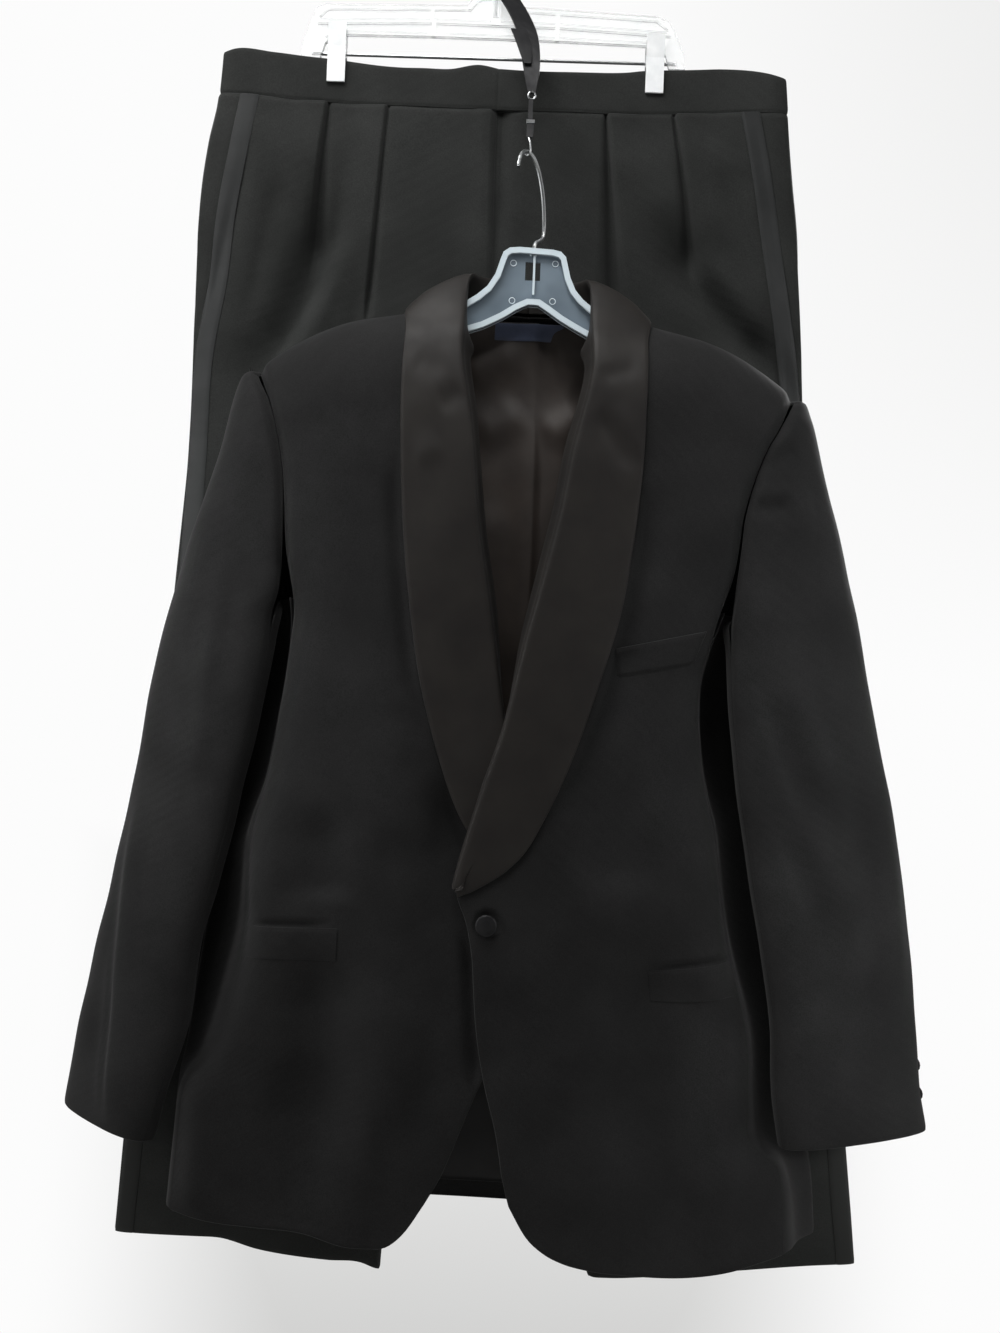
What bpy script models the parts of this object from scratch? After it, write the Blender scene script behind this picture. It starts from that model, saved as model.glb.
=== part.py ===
"""A shawl-collar tuxedo jacket on its hanger, hung by a satin strap in front of pleated
trousers on a clip hanger.

Frame: metres, +Z up, +X to the viewer's right, -Y towards the viewer. The origin is the seat
of the clip hanger's hook, which carries everything. Left and right are the viewer's.
Sizes and tables below are in millimetres and are turned to metres as meshes are made."""

import math

import bmesh
import bpy
import numpy as np
from mathutils import Vector

MM = 0.001

# --- driving dimensions, mm -------------------------------------------------------------
SEAM_GAP = 0.3          # between pieces that are sewn edge to edge
JACKET_WALL = 2.0       # wool, canvas and lining pressed together
SLEEVE_WALL = 1.8
COLLAR_WALL = 1.8
TROUSER_WALL = 1.5
LINING_WALL = 1.0
JACKET_X = 40.5         # the jacket hangs this far to the right of the clip hanger's hook
HANGER_Y = -72.0        # plane of the jacket hanger and of the shoulder line
RIDGE_TOP = -385.0      # height at which the shoulder line meets the neck
SHOULDER_ROLL = 80.0    # drop over which the shoulder rolls from its ridge into the chest
LEVEL_MID = -650.0      # underarm: rows are level between here and LEVEL_LOW
LEVEL_LOW = -1000.0
LEVEL_HEM = -1210.0     # nominal hem, which the hem tables bend to the real one
SHOULDER_TILT = -0.016  # the right shoulder hangs a little lower
LAP_STEP = 6.5          # each front moves this far apart in depth where they lap
NECK_HALF = 88.0        # half width of the back neckline
TROUSER_HALF = 11.0     # half depth of the flattened trousers
BAND_HEIGHT = 38.0      # waistband
WAIST_Z = -180.2        # the waist seam at the centre, from which it rises to both sides
WAIST_RISE = 1.25e-4
WIRE = 1.75             # radius of the hook wire
CLIP_X = 150.0          # clips stand this far either side of the hook


# --- tables and curves --------------------------------------------------------------------
def read_table(text):
    """A table with named columns: the first column is the level that the others follow."""
    lines = [line.split() for line in text.strip().splitlines()]
    rows = sorted([float(cell) for cell in line] for line in lines[1:])
    return {name: np.array([row[i] for row in rows]) for i, name in enumerate(lines[0])}


def smooth(xs, ys, x):
    """A cubic through the points whose slopes never overshoot them."""
    if x <= xs[0]:
        return float(ys[0])
    if x >= xs[-1]:
        return float(ys[-1])
    i = int(np.searchsorted(xs, x)) - 1
    steps = np.diff(xs)
    slopes = np.diff(ys) / steps

    def tangent(k):
        if k == 0 or k == len(xs) - 1:
            return slopes[0] if k == 0 else slopes[-1]
        before, after = slopes[k - 1], slopes[k]
        return 0.0 if before * after <= 0 else 2 * before * after / (before + after)

    h = steps[i]
    t = (x - xs[i]) / h
    return float(
        (1 + 2 * t) * (1 - t) ** 2 * ys[i] + t * (1 - t) ** 2 * h * tangent(i)
        + t * t * (3 - 2 * t) * ys[i + 1] + t * t * (t - 1) * h * tangent(i + 1)
    )


def read(table, column, level):
    first = next(iter(table.values()))
    return smooth(first, table[column], level)


def blend(start, end, value):
    """0 before start, 1 after end, and smooth between."""
    t = min(1.0, max(0.0, (value - start) / (end - start)))
    return t * t * (3 - 2 * t)


def spline(points, t):
    """A point of the smooth curve through the points, at a place counted in points."""
    last = len(points) - 1
    i = min(int(max(t, 0.0)), last - 1)
    f = t - i
    a, b = points[i], points[i + 1]
    before = points[i - 1] if i else 2 * a - b
    after = points[i + 2] if i + 2 <= last else 2 * b - a
    return 0.5 * (2 * a + (b - before) * f + (2 * before - 5 * a + 4 * b - after) * f * f
                  + (3 * a - before - 3 * b + after) * f ** 3)


def solve(function, target, low, high, steps=40):
    """Where a steadily rising or falling function takes the target value."""
    rising = function(high) > function(low)
    for _ in range(steps):
        middle = 0.5 * (low + high)
        if (function(middle) < target) == rising:
            low = middle
        else:
            high = middle
    return 0.5 * (low + high)


# --- materials ------------------------------------------------------------------------------
def make_material(name, colour, roughness, metallic=0.0, alpha=1.0):
    material = bpy.data.materials.new(name)
    material.use_nodes = True
    shader = material.node_tree.nodes["Principled BSDF"]
    shader.inputs["Base Color"].default_value = (*colour, 1.0)
    shader.inputs["Roughness"].default_value = roughness
    shader.inputs["Metallic"].default_value = metallic
    shader.inputs["Alpha"].default_value = alpha
    return material


# --- meshes -----------------------------------------------------------------------------------
def add_object(name, vertices, faces, material):
    """One closed mesh, from points in millimetres, with its faces turned outwards."""
    mesh = bpy.data.meshes.new(name)
    mesh.from_pydata([tuple(float(c) * MM for c in v) for v in vertices], [], faces)
    shape = bmesh.new()
    shape.from_mesh(mesh)
    bmesh.ops.recalc_face_normals(shape, faces=shape.faces)
    shape.to_mesh(mesh)
    shape.free()
    mesh.shade_smooth()
    mesh.set_sharp_from_angle(angle=math.radians(40))
    mesh.materials.append(material)
    obj = bpy.data.objects.new(name, mesh)
    bpy.context.scene.collection.objects.link(obj)
    return obj


def wall(name, material, surface, spans, rows, shares, thickness, facing, lift=0.0, ease=None):
    """A cloth panel: a grid on surface(u, v), moved out by lift and made thickness deep.

    spans(v) gives the panel's first and last u on a row, shares the columns between them, and
    ease(point) moves both faces bodily. facing is 1 or -1, whichever turns dS/du x dS/dv
    outwards. Normals come from the surface itself, so that panels agree at a seam."""
    step = 1e-3
    outer, inner = [], []
    for v in rows:
        first, last = spans(v)
        for share in shares:
            u = first + (last - first) * share
            point = surface(u, v)
            along = surface(u + step, v) - surface(u - step, v)
            down = surface(u, v + step) - surface(u, v - step)
            normal = np.cross(along, down) * facing
            normal /= np.linalg.norm(normal)
            if ease:
                point = point + ease(point)
            outer.append(point + normal * lift)
            inner.append(point + normal * (lift - thickness))
    return add_object(name, *closed_grid(outer, inner, len(rows), len(shares)), material)


def closed_grid(outer, inner, rows, columns):
    """Vertices and faces of the solid between two grids of the same size."""
    count = rows * columns
    faces = []
    for i in range(rows - 1):
        for j in range(columns - 1):
            a, b = i * columns + j, i * columns + j + 1
            c, d = b + columns, a + columns
            faces += [(a, b, c), (a, c, d)]
            faces += [(count + a, count + c, count + b), (count + a, count + d, count + c)]
    top = list(range(columns))
    right = [i * columns + columns - 1 for i in range(rows)]
    bottom = [(rows - 1) * columns + j for j in reversed(range(columns))]
    left = [i * columns for i in reversed(range(rows))]
    border = top + right[1:] + bottom[1:] + left[1:]
    for a, b in zip(border, border[1:]):
        faces.append((a, b, count + b, count + a))
    return outer + inner, faces


def even(count):
    return [i / (count - 1) for i in range(count)]


# --- the jacket's body ----------------------------------------------------------------------
# Half sections of the body by level: the front's depth, the corner where the front panel ends,
# the middle of the side panel, the corner where the back panel begins, and the back's depth.
BODY_LEFT = read_table("""
    level front cornerX cornerY sideX sideY backX backY back
    -1210 -113  285     -103    291   -70   294   -36   -28
    -1140 -115  280     -103    288   -70   292   -36   -28
    -1089 -115  276     -103    284   -70   290   -36   -28
    -1048 -116  252     -104    268   -70   286   -36   -28
    -1000 -117  241     -104    261   -70   281   -36   -28
    -932  -118  235     -105    254   -70   272   -36   -28
    -864  -118  235     -106    249   -70   262   -36   -28
    -807  -118  224     -106    231   -67   252   -36   -29
    -715  -118  211     -107    214   -64   238   -37   -29
    -655  -118  203     -107    205   -64   228   -37   -30
    -560  -118  224     -107    227   -71   230   -38   -30
    -480  -117  244     -106    246   -71   246   -38   -31
    -385  -114  252     -104    256   -71   254   -38   -32
""")
BODY_RIGHT = read_table("""
    level front cornerX cornerY sideX sideY backX backY back
    -1210 -113  254     -102    275   -68   294   -36   -28
    -1160 -114  251     -102    268   -68   290   -36   -28
    -1130 -115  245     -102    258   -68   285   -36   -28
    -1104 -115  219     -102    242   -69   278   -36   -28
    -1060 -116  216     -103    235   -69   270   -36   -28
    -1000 -117  214     -104    228   -69   260   -36   -28
    -959  -118  208     -105    220   -69   250   -36   -28
    -895  -118  197     -106    208   -69   236   -36   -28
    -836  -118  189     -106    199   -68   229   -36   -29
    -769  -118  175     -107    182   -65   226   -36   -29
    -714  -118  172     -107    178   -64   222   -37   -29
    -655  -118  182     -107    184   -64   216   -37   -30
    -560  -118  222     -107    226   -71   228   -38   -30
    -480  -117  244     -106    246   -71   246   -38   -31
    -385  -114  252     -104    256   -71   254   -38   -32
""")

# The shoulder line and, inside NECK_HALF, the back neckline.
RIDGE = read_table("""
    x    z
    0    -379
    60   -380
    88   -385
    105  -388
    160  -400
    203  -420
    240  -446
    262  -464
""")

# Hem heights, front left, front right and back.
HEM_LEFT = read_table("""
    x    z
    -300 -1196
    -262 -1203
    -215 -1198
    -165 -1201
    -120 -1212
    -97  -1211
    -80  -1199
    -63  -1174
""")
HEM_RIGHT = read_table("""
    x    z
    12   -1170
    29   -1197
    50   -1213
    73   -1221
    100  -1225
    134  -1227
    176  -1226
    218  -1220
    250  -1214
    300  -1206
""")
HEM_BACK = read_table("""
    x    z
    -300 -1186
    0    -1190
    300  -1206
""")

# Free edges of the fronts, from the neck along the roll line, past the button, to the hem.
EDGE_LEFT = read_table("""
    z     x
    -386  -90
    -405  -77
    -425  -67
    -448  -57
    -506  -47.5
    -572  -40.5
    -633  -30.5
    -695  -19.5
    -741  -11.5
    -790  -2.5
    -840  6
    -900  12
    -960  11
    -1020 1
    -1060 -15
    -1092 -28
    -1125 -40
    -1150 -50
    -1174 -63
""")
EDGE_RIGHT = read_table("""
    z     x
    -386  90
    -405  77
    -425  68
    -448  60.5
    -476  54.1
    -553  39.5
    -616  26.5
    -667  13.5
    -722  3.5
    -768  -9.5
    -816  -23.5
    -882  -41
    -900  -44
    -910  -41
    -925  -33
    -943  -29
    -1015 -22
    -1059 -14
    -1108 -1
    -1147 6
    -1170 12
""")

# Armhole seams seen from the front and from the back, as distance from the centre.
ARMHOLE_LEFT = read_table("""
    z    front back
    -660 203   214
    -610 206   218
    -554 208   221
    -518 213   224
    -481 223   231
    -454 236   238
    -446 240   240
""")
ARMHOLE_RIGHT = read_table("""
    z    front back
    -660 184   202
    -637 186   212
    -594 191   215
    -555 195   217
    -530 202   220
    -501 212   226
    -481 223   231
    -454 236   238
    -446 240   240
""")


def ridge_height(x):
    return read(RIDGE, "z", abs(x)) + SHOULDER_TILT * x


def ridge_depth(x):
    """The neckline of the back sweeps rearwards from the shoulder line."""
    inside = max(0.0, 1 - abs(x) / NECK_HALF)
    return HANGER_Y + 30.0 * (1 - (1 - inside) ** 2)


def hem_height(x, front):
    if not front:
        return read(HEM_BACK, "z", x)
    side = 1 - blend(190, 300, abs(x))
    table = HEM_RIGHT if x > -25 else HEM_LEFT
    return side * read(table, "z", x) + (1 - side) * read(HEM_BACK, "z", x)


def height_of(x, level, front):
    """Rows follow the shoulder line at the top, run level past the waist, and end on the hem."""
    if level > LEVEL_MID:
        ridge = ridge_height(x)
        return ridge + (level - RIDGE_TOP) * (LEVEL_MID - ridge) / (LEVEL_MID - RIDGE_TOP)
    if level < LEVEL_LOW:
        share = ((LEVEL_LOW - level) / (LEVEL_LOW - LEVEL_HEM)) ** 1.5
        return level + (hem_height(x, front) - LEVEL_HEM) * share
    return level


def level_at(x, z, front=True):
    return solve(lambda level: height_of(x, level, front), z, LEVEL_HEM, RIDGE_TOP)


ROLL_RATE = SHOULDER_ROLL * math.pi / 2


def level_of_row(row):
    """Rows 0 to 1 roll over the shoulder, and later ones run down in even steps."""
    if row < 1:
        return RIDGE_TOP - SHOULDER_ROLL * (1 - math.cos(math.pi / 2 * row))
    return RIDGE_TOP - SHOULDER_ROLL - (row - 1) * ROLL_RATE


def row_of_level(level):
    drop = RIDGE_TOP - level
    if drop < SHOULDER_ROLL:
        return math.acos(max(-1.0, 1 - drop / SHOULDER_ROLL)) / (math.pi / 2)
    return 1 + (drop - SHOULDER_ROLL) / ROLL_RATE


def body_section(level, side):
    """Nine points of the half section, from the centre front round to the centre back."""
    table = BODY_RIGHT if side > 0 else BODY_LEFT
    front, corner_x, corner_y, side_x, side_y, back_x, back_y, back = (
        read(table, name, level) for name in list(table)[1:])
    return [np.array(p) for p in (
        (0.0, front), (0.42 * corner_x, front), (0.82 * corner_x, front + 1.0),
        (corner_x, corner_y), (side_x, side_y), (back_x, back_y),
        (0.84 * back_x, back - 0.5), (0.42 * back_x, back), (0.0, back))]


FRONT_SEAM, BACK_SEAM, CENTRE_BACK = 3.0, 5.0, 8.0


def body_point(a, row, side):
    """A point of the body: a runs round from the centre front, row down from the shoulder."""
    level = level_of_row(row)
    section = body_section(level, side)
    across, sign = (a, 1.0) if a >= 0 else (-a, -1.0)
    x, y = spline(section, across)
    x *= sign * side
    if row < 1:
        middle = ridge_depth(x) if a > 4 else HANGER_Y
        y = middle + (y - middle) * math.sin(math.pi / 2 * abs(row)) * (1 if row >= 0 else -1)
    z = height_of(x, level, a < 4)
    if a < FRONT_SEAM:
        lap = blend(135, 25, abs(x)) * blend(-520, -770, z) * (1 - 0.55 * blend(-930, -1030, z))
        y += -side * LAP_STEP * lap
    return np.array((x, y, z))


def place_across(x, level, side, low, high):
    """Where round the section the body is x from the centre."""
    section = body_section(level, side)
    return solve(lambda a: math.copysign(1, a) * spline(section, abs(a))[0], x, low, high)


def front_point(x, z, side, lift=0.0):
    """The outer face of a front panel at (x, z), moved out along its normal."""
    level = level_at(x, z)
    row = row_of_level(level)
    a = place_across(x * side, level, side, -1.6, FRONT_SEAM)
    return body_point(a, row, side) + body_normal(a, row, side) * lift


def body_normal(a, row, side):
    step = 1e-3
    along = body_point(a + step, row, side) - body_point(a - step, row, side)
    down = body_point(a, row + step, side) - body_point(a, row - step, side)
    normal = np.cross(down, along) * side
    return normal / np.linalg.norm(normal)


def edge_by_level(table):
    """A free edge given as x by z, turned into x by level."""
    pairs = sorted((level_at(x, z), x) for z, x in zip(table["z"], table["x"]))
    return np.array([p[0] for p in pairs]), np.array([p[1] for p in pairs])


def level_on_ridge(x, z):
    """The level of (x, z) above the underarm, were both shoulders at the same height."""
    ridge = read(RIDGE, "z", x)
    return RIDGE_TOP + (z - ridge) * (LEVEL_MID - RIDGE_TOP) / (LEVEL_MID - ridge)


def seam_by_level(column, side):
    table = ARMHOLE_RIGHT if side > 0 else ARMHOLE_LEFT
    pairs = sorted((level_on_ridge(x, z), x) for z, x in zip(table["z"], table[column]))
    return np.array([p[0] for p in pairs]), np.array([p[1] for p in pairs])


def armhole_at(z, column, side):
    """Where the armhole seam passes a height: its distance from the centre, and its level."""
    seam = seam_by_level(column, side)
    level = solve(lambda v: height_of(side * smooth(*seam, v), v, True), z, UNDERARM, RIDGE_TOP)
    return smooth(*seam, level), level


def armhole_height(level, side):
    """The height of the front armhole seam on one of the body's rows."""
    return height_of(side * smooth(*seam_by_level("front", side), level), level, True)


ROLL_ROWS = [0.03, 0.22, 0.46, 0.74, 1.0]
UNDERARM = -657.0
PLEAT_X = 9.0           # fold of the back lining's pleat
ARMHOLE_LEVELS = [-520, -580, -625]
BODY_LEVELS = [UNDERARM, -705, -765, -835, -895, -950, -1005, -1060, -1100, -1130, -1172,
               LEVEL_HEM]
ALL_ROWS = ROLL_ROWS + [row_of_level(level) for level in ARMHOLE_LEVELS + BODY_LEVELS]


def make_front(name, side, material):
    edge = edge_by_level(EDGE_RIGHT if side > 0 else EDGE_LEFT)
    seam = seam_by_level("front", side)

    def spans(row):
        level = level_of_row(row)
        x_edge = smooth(*edge, level) * side
        first = place_across(x_edge, level, side, -1.6, FRONT_SEAM)
        if level > UNDERARM:
            last = place_across(smooth(*seam, level) - SEAM_GAP, level, side, 0.0, FRONT_SEAM)
        else:
            last = FRONT_SEAM - SEAM_GAP / 60
        return first, last

    shares = [0.0, 0.1, 0.22, 0.35, 0.5, 0.66, 0.8, 0.91, 1.0]
    return wall(name, material, lambda a, row: body_point(a, row, side), spans, ALL_ROWS, shares,
                JACKET_WALL, -side)


def make_side(name, side, material):
    gap = SEAM_GAP / 60
    return wall(name, material, lambda a, row: body_point(a, row, side),
                lambda row: (FRONT_SEAM + gap, BACK_SEAM - 5 * gap),
                [row_of_level(level) for level in BODY_LEVELS], even(5), JACKET_WALL, -side)


def make_back(name, side, material):
    seam = seam_by_level("back", side)
    gap = SEAM_GAP / 60

    def spans(row):
        level = level_of_row(row)
        first = BACK_SEAM + gap
        if level > UNDERARM:
            x_seam = smooth(*seam, level) - SEAM_GAP
            first = place_across(x_seam, level, side, BACK_SEAM, CENTRE_BACK)
        return first, CENTRE_BACK - gap / 3

    return wall(name, material, lambda a, row: body_point(a, row, side), spans, ALL_ROWS,
                [0.0, 0.1, 0.25, 0.44, 0.65, 0.74, 0.82, 0.91, 1.0], JACKET_WALL, -side)


def lining_ease(point):
    """How far the lining stands off the back: its folded centre pleat, and its ease at the neck."""
    x, _, z = point
    fold = max(0.0, 1 - abs(x - PLEAT_X) / 14) if x <= PLEAT_X + 0.1 else 0.0
    neck = blend(-490, -430, z)
    return np.array((0, -2.4 * fold * blend(-900, -560, z) - 2.2 * neck, -0.8 * neck))


def make_lining(name, material):
    half = 165.0
    lift = -(JACKET_WALL + 0.6)

    def surface(x, row):
        side = 1.0 if x >= 0 else -1.0
        level = level_of_row(row)
        a = place_across(abs(x), level, side, BACK_SEAM, CENTRE_BACK)
        return body_point(a, row, side)

    rows = ALL_ROWS[1:-1] + [row_of_level(-1192)]
    columns = [-half, -130, -95, -72, -50, -28, -8, 3, 9, 10.5, 24, 45, 68, 95, 130, half]
    shares = [(x + half) / (2 * half) for x in columns]
    return wall(name, material, surface, lambda row: (-half, half), rows, shares, LINING_WALL,
                1, lift, lining_ease)


def make_patch(name, material, corners, side, columns, rows, thickness, lift, inside=False):
    """A flap, welt or label laid on the body inside four (x, z) corners, top left first."""
    (x0, z0), (x1, z1), (x2, z2), (x3, z3) = corners
    outer, inner = [], []
    for v in even(rows):
        for u in even(columns):
            x = (1 - v) * ((1 - u) * x0 + u * x1) + v * ((1 - u) * x3 + u * x2)
            z = (1 - v) * ((1 - u) * z0 + u * z1) + v * ((1 - u) * z3 + u * z2)
            if inside:
                outer.append(lining_face(x, z, -lift - thickness))
                inner.append(lining_face(x, z, -lift))
            else:
                outer.append(front_point(x, z, side, lift + thickness))
                inner.append(front_point(x, z, side, lift))
    return add_object(name, *closed_grid(outer, inner, rows, columns), material)


def lining_face(x, z, offset):
    """A point in front of the back lining, offset millimetres nearer the viewer when negative."""
    side = 1.0 if x >= 0 else -1.0
    level = level_at(x, z, front=False)
    a = place_across(abs(x), level, side, BACK_SEAM, CENTRE_BACK)
    point = body_point(a, row_of_level(level), side)
    point += lining_ease(point)
    clear = JACKET_WALL + 0.6 + LINING_WALL
    return point + body_normal(a, row_of_level(level), side) * (offset - clear)


# --- sleeves -------------------------------------------------------------------------------
# Sections of each sleeve by height: the inner end and the outer end of its long axis, and half
# its depth across that axis. Above the underarm the inner end lies inside the body.
SLEEVE_LEFT = read_table("""
    level innerX innerY outerX outerY half lean
    -1119 -306   -110   -391   -34    23   -0.16
    -1081 -296   -109   -387   -36    23   -0.12
    -1016 -277   -108   -376   -38    24   -0.07
    -958  -272   -107   -365   -42    24   -0.03
    -901  -257   -106   -353   -48    25   0
    -823  -240   -104   -338   -55    26   0
    -742  -223   -106   -323   -63    28   0
    -655  -209   -98    -306   -70    31   0
    -610  -190   -84    -296   -72    37   0
    -560  -176   -78    -283   -73    40   0
    -520  -176   -74    -272   -73    40   0
    -490  -186   -72    -265   -72    38   0
    -470  -200   -72    -260   -72    34   0
    -456  -214   -72    -256   -72    26   0
    -449  -225   -72    -253   -72    19   0
    -445  -230   -72    -248   -72    13   0
    -442  -232   -72    -241   -72    10   0
""")
SLEEVE_RIGHT = read_table("""
    level innerX innerY outerX outerY half lean
    -1105 247    -112   384    -62    23   0.07
    -1063 240    -112   376    -63    23   0.05
    -1008 236    -112   371    -64    23   0.02
    -950  226    -112   364    -65    23   0
    -903  217    -111   357    -66    24   0
    -803  199    -109   338    -68    25   0
    -722  189    -105   319    -69    27   0
    -655  184    -98    303    -70    31   0
    -610  176    -84    291    -72    37   0
    -560  172    -78    280    -73    40   0
    -520  176    -74    269    -73    40   0
    -495  186    -72    263    -72    38   0
    -476  200    -72    258    -72    34   0
    -464  214    -72    254    -72    26   0
    -457  225    -72    252    -72    19   0
    -453  230    -72    248    -72    13   0
    -450  232    -72    241    -72    10   0
""")
TOP_SEAM = 3.45         # the elbow seam, in radians round the sleeve from its inner end
ELBOW_GAP = 0.012
CUFF_SQUARE = 2.5       # how boxy the flattened sleeve is


def sleeve_point(angle, level, side):
    table = SLEEVE_RIGHT if side > 0 else SLEEVE_LEFT
    inner_x, inner_y, outer_x, outer_y, half, lean = (
        read(table, name, level) for name in list(table)[1:])
    inner, outer = np.array((inner_x, inner_y)), np.array((outer_x, outer_y))
    axis = outer - inner
    length = np.linalg.norm(axis)
    across = np.array((axis[1], -axis[0])) / length * side
    power = 2 / CUFF_SQUARE
    c, s = math.cos(angle), math.sin(angle)
    long_share = -math.copysign(abs(c) ** power, c)
    deep_share = math.copysign(abs(s) ** power, s)
    x, y = (inner + outer) / 2 + axis / 2 * long_share + across * half * deep_share
    middle = (inner_x + outer_x) / 2
    return np.array((x, y, level + lean * (x - middle)))


def sleeve_spans(side):
    """Where the sleeve starts at the front of the armhole and ends at its back, by level."""
    table = SLEEVE_RIGHT if side > 0 else SLEEVE_LEFT
    first, last = 0.1, 2 * math.pi + 0.1 - ELBOW_GAP

    def start(level, column, low, high):
        seam = armhole_at(level, column, side)[0] + SEAM_GAP * 1.3
        inner, outer = abs(read(table, "innerX", level)), abs(read(table, "outerX", level))
        seam = max(inner + 0.4, min(outer - 0.6, seam))
        return solve(lambda t: abs(sleeve_point(t, level, side)[0]), seam, low, high)

    def ends(level):
        if level <= UNDERARM:
            return first, last
        return (start(level, "front", first, math.pi - 0.05),
                start(level, "back", 2 * math.pi - 0.1, math.pi + 0.35))

    return ends


def seamed_sleeve(side):
    """The sleeve's surface, drawn in depth to the armhole's edge and easing away from it."""
    ends = sleeve_spans(side)
    table = SLEEVE_RIGHT if side > 0 else SLEEVE_LEFT
    heights = [table["level"][-1] - d for d in (0, 3, 8, 16, 30, 50, 80, 120, 165, 200)]
    heights = sorted(h for h in heights if h > UNDERARM + 12)
    shift = {"front": [0.0], "back": [0.0]}
    seams = {"front": [], "back": []}
    for height in heights:
        for column, angle in zip(("front", "back"), ends(height)):
            seam, level = armhole_at(height, column, side)
            low, high = (0.0, FRONT_SEAM) if column == "front" else (BACK_SEAM, CENTRE_BACK)
            a = place_across(seam, level, side, low, high)
            depth = body_point(a, row_of_level(level), side)[1]
            shift[column].append(depth - sleeve_point(angle, height, side)[1])
            seams[column].append(seam)
    levels = np.array([UNDERARM] + heights)

    def surface(angle, level):
        point = sleeve_point(angle, level, side)
        column = "front" if angle % (2 * math.pi) < math.pi else "back"
        seam = smooth(np.array(heights), np.array(seams[column]), level)
        reach = max(0.3, min(34.0, 0.85 * (abs(read(table, "outerX", level)) - seam)))
        near = 1 - blend(0, reach, abs(point[0]) - seam)
        point[1] += smooth(levels, np.array(shift[column]), level) * near
        return point

    return surface


def make_sleeve(side, word, material):
    ends, surface = sleeve_spans(side), seamed_sleeve(side)
    table = SLEEVE_RIGHT if side > 0 else SLEEVE_LEFT
    top, hem = table["level"][-1], table["level"][0]
    body = [level_of_row(row) for row in ROLL_ROWS[1:]] + ARMHOLE_LEVELS
    levels = [top, top - 2.6] + [armhole_height(level, side) for level in body]
    levels += [UNDERARM, -700, -765, -835, -905, -980, -1050, -1080, hem]

    def seam_angle(level):
        return TOP_SEAM if level < UNDERARM else TOP_SEAM + 0.1 * blend(UNDERARM, -480, level)

    def elbow_gap(level):
        return SEAM_GAP * (1.4 + 9 * blend(top - 14, top, level)) / read(table, "half", level)

    wall(f"sleeve_top_{word}", material, surface,
         lambda level: (ends(level)[0], seam_angle(level) - elbow_gap(level)), levels,
         [0.0, 0.06, 0.2, 0.4, 0.62, 0.8, 0.93, 1.0], SLEEVE_WALL, side)
    wall(f"sleeve_under_{word}", material, surface,
         lambda level: (seam_angle(level), max(seam_angle(level) + 0.05, ends(level)[1])),
         levels, [0.0, 0.2, 0.5, 0.75, 0.92, 1.0], SLEEVE_WALL, side)


# --- shawl collar ----------------------------------------------------------------------------
# Stations up each lapel, from its lower tip to the side of the neck: the roll (crest) and the
# outer edge, as (x, z) on the front.
LAPEL_LEFT = read_table("""
    station crestX crestZ edgeX edgeZ
    0       10.4   -884   11    -892
    1       7.4    -850   -12   -868
    2       -2.5   -790   -40   -838
    3       -11.5  -741   -62   -786
    4       -25.2  -662   -83   -712
    5       -37.8  -590   -95   -640
    6       -43    -546   -100  -600
    7       -47.5  -506   -104  -556
    8       -52.4  -474   -106.5 -514
    9       -57.8  -446   -108  -474
    10      -60.5  -425   -108  -440
    11      -60    -404   -107  -408
""")
LAPEL_RIGHT = read_table("""
    station crestX crestZ edgeX edgeZ
    0       -43.4  -893   -42   -900
    1       -40.2  -878   -22   -890
    2       -32.4  -848   12    -862
    3       -19    -800   45    -795
    4       -5     -752   67    -730
    5       12.4   -672   88    -655
    6       29     -604   96    -602
    7       38.2   -560   101   -556
    8       47.6   -504   104   -513
    9       60     -448   104.5 -472
    10      61     -425   105   -442
    11      60     -404   105   -410
""")
# Stations from the shoulder round to the centre back: roll, outer edge and neck seam in space.
NECK_STATIONS = """
    crestX crestY crestZ edgeX edgeY edgeZ seamX seamY seamZ
    54     -70    -353   108   -73   -384  74    -71   -379
    42     -47    -347   76    -38   -395  53    -53   -377
    20     -36    -345   36    -29   -396  26    -46   -376
    0.5    -34    -344   0.5   -28   -396  0.5   -42.5 -376
"""


def lapel_section(row, side):
    """Seven points from the lapel's outer edge, over the roll, to its inside edge."""
    crest_x, crest_z, edge_x, edge_z = row
    edge, crest = np.array((edge_x, edge_z)), np.array((crest_x, crest_z))
    width = max(np.linalg.norm(edge - crest), 14.0)
    toward = (crest - edge) / np.linalg.norm(crest - edge)
    if np.linalg.norm(edge - crest) < 14:
        toward = np.array((-side, 0.0))
    places = [edge, edge + (crest - edge) * 0.35, edge + (crest - edge) * 0.7,
              crest - toward * min(6.0, 0.4 * width), crest, crest - toward * 3.5,
              crest - toward * 11.0]
    points = [front_point(*place, side, lift)
              for place, lift in zip(places, (3.4, 4.0, 4.7, 5.0, -0.8, -6.3, -5.4))]
    points[4][0] += toward[0] * 5.0
    points[4][2] += toward[1] * 5.0
    return points


def neck_section(row, side):
    values = dict(zip("crestX crestY crestZ edgeX edgeY edgeZ seamX seamY seamZ".split(), row))
    crest, edge, seam = (np.array([values[k + axis] for axis in "XYZ"])
                         for k in ("crest", "edge", "seam"))
    outward = edge - crest
    outward[2] = 0.0
    outward /= np.linalg.norm(outward)
    if row[0] < 1:
        outward = np.array((0.0, 1.0, 0.0))
    swell = (outward + np.array((0.0, 0.0, 1.0))) / math.sqrt(2)
    width = np.linalg.norm(edge - crest)
    leaf = [edge + (crest - edge) * share + swell * width * bulge
            for share, bulge in zip((0.0, 0.33, 0.66, 0.9), (0.0, 0.1, 0.12, 0.07))]
    inner = crest + (seam - crest) * 0.22 - outward * 2.4
    points = leaf + [crest, inner, seam]
    for point in points:
        point[2] += SHOULDER_TILT * point[0] * side
        point[0] *= side
    return points


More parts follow.
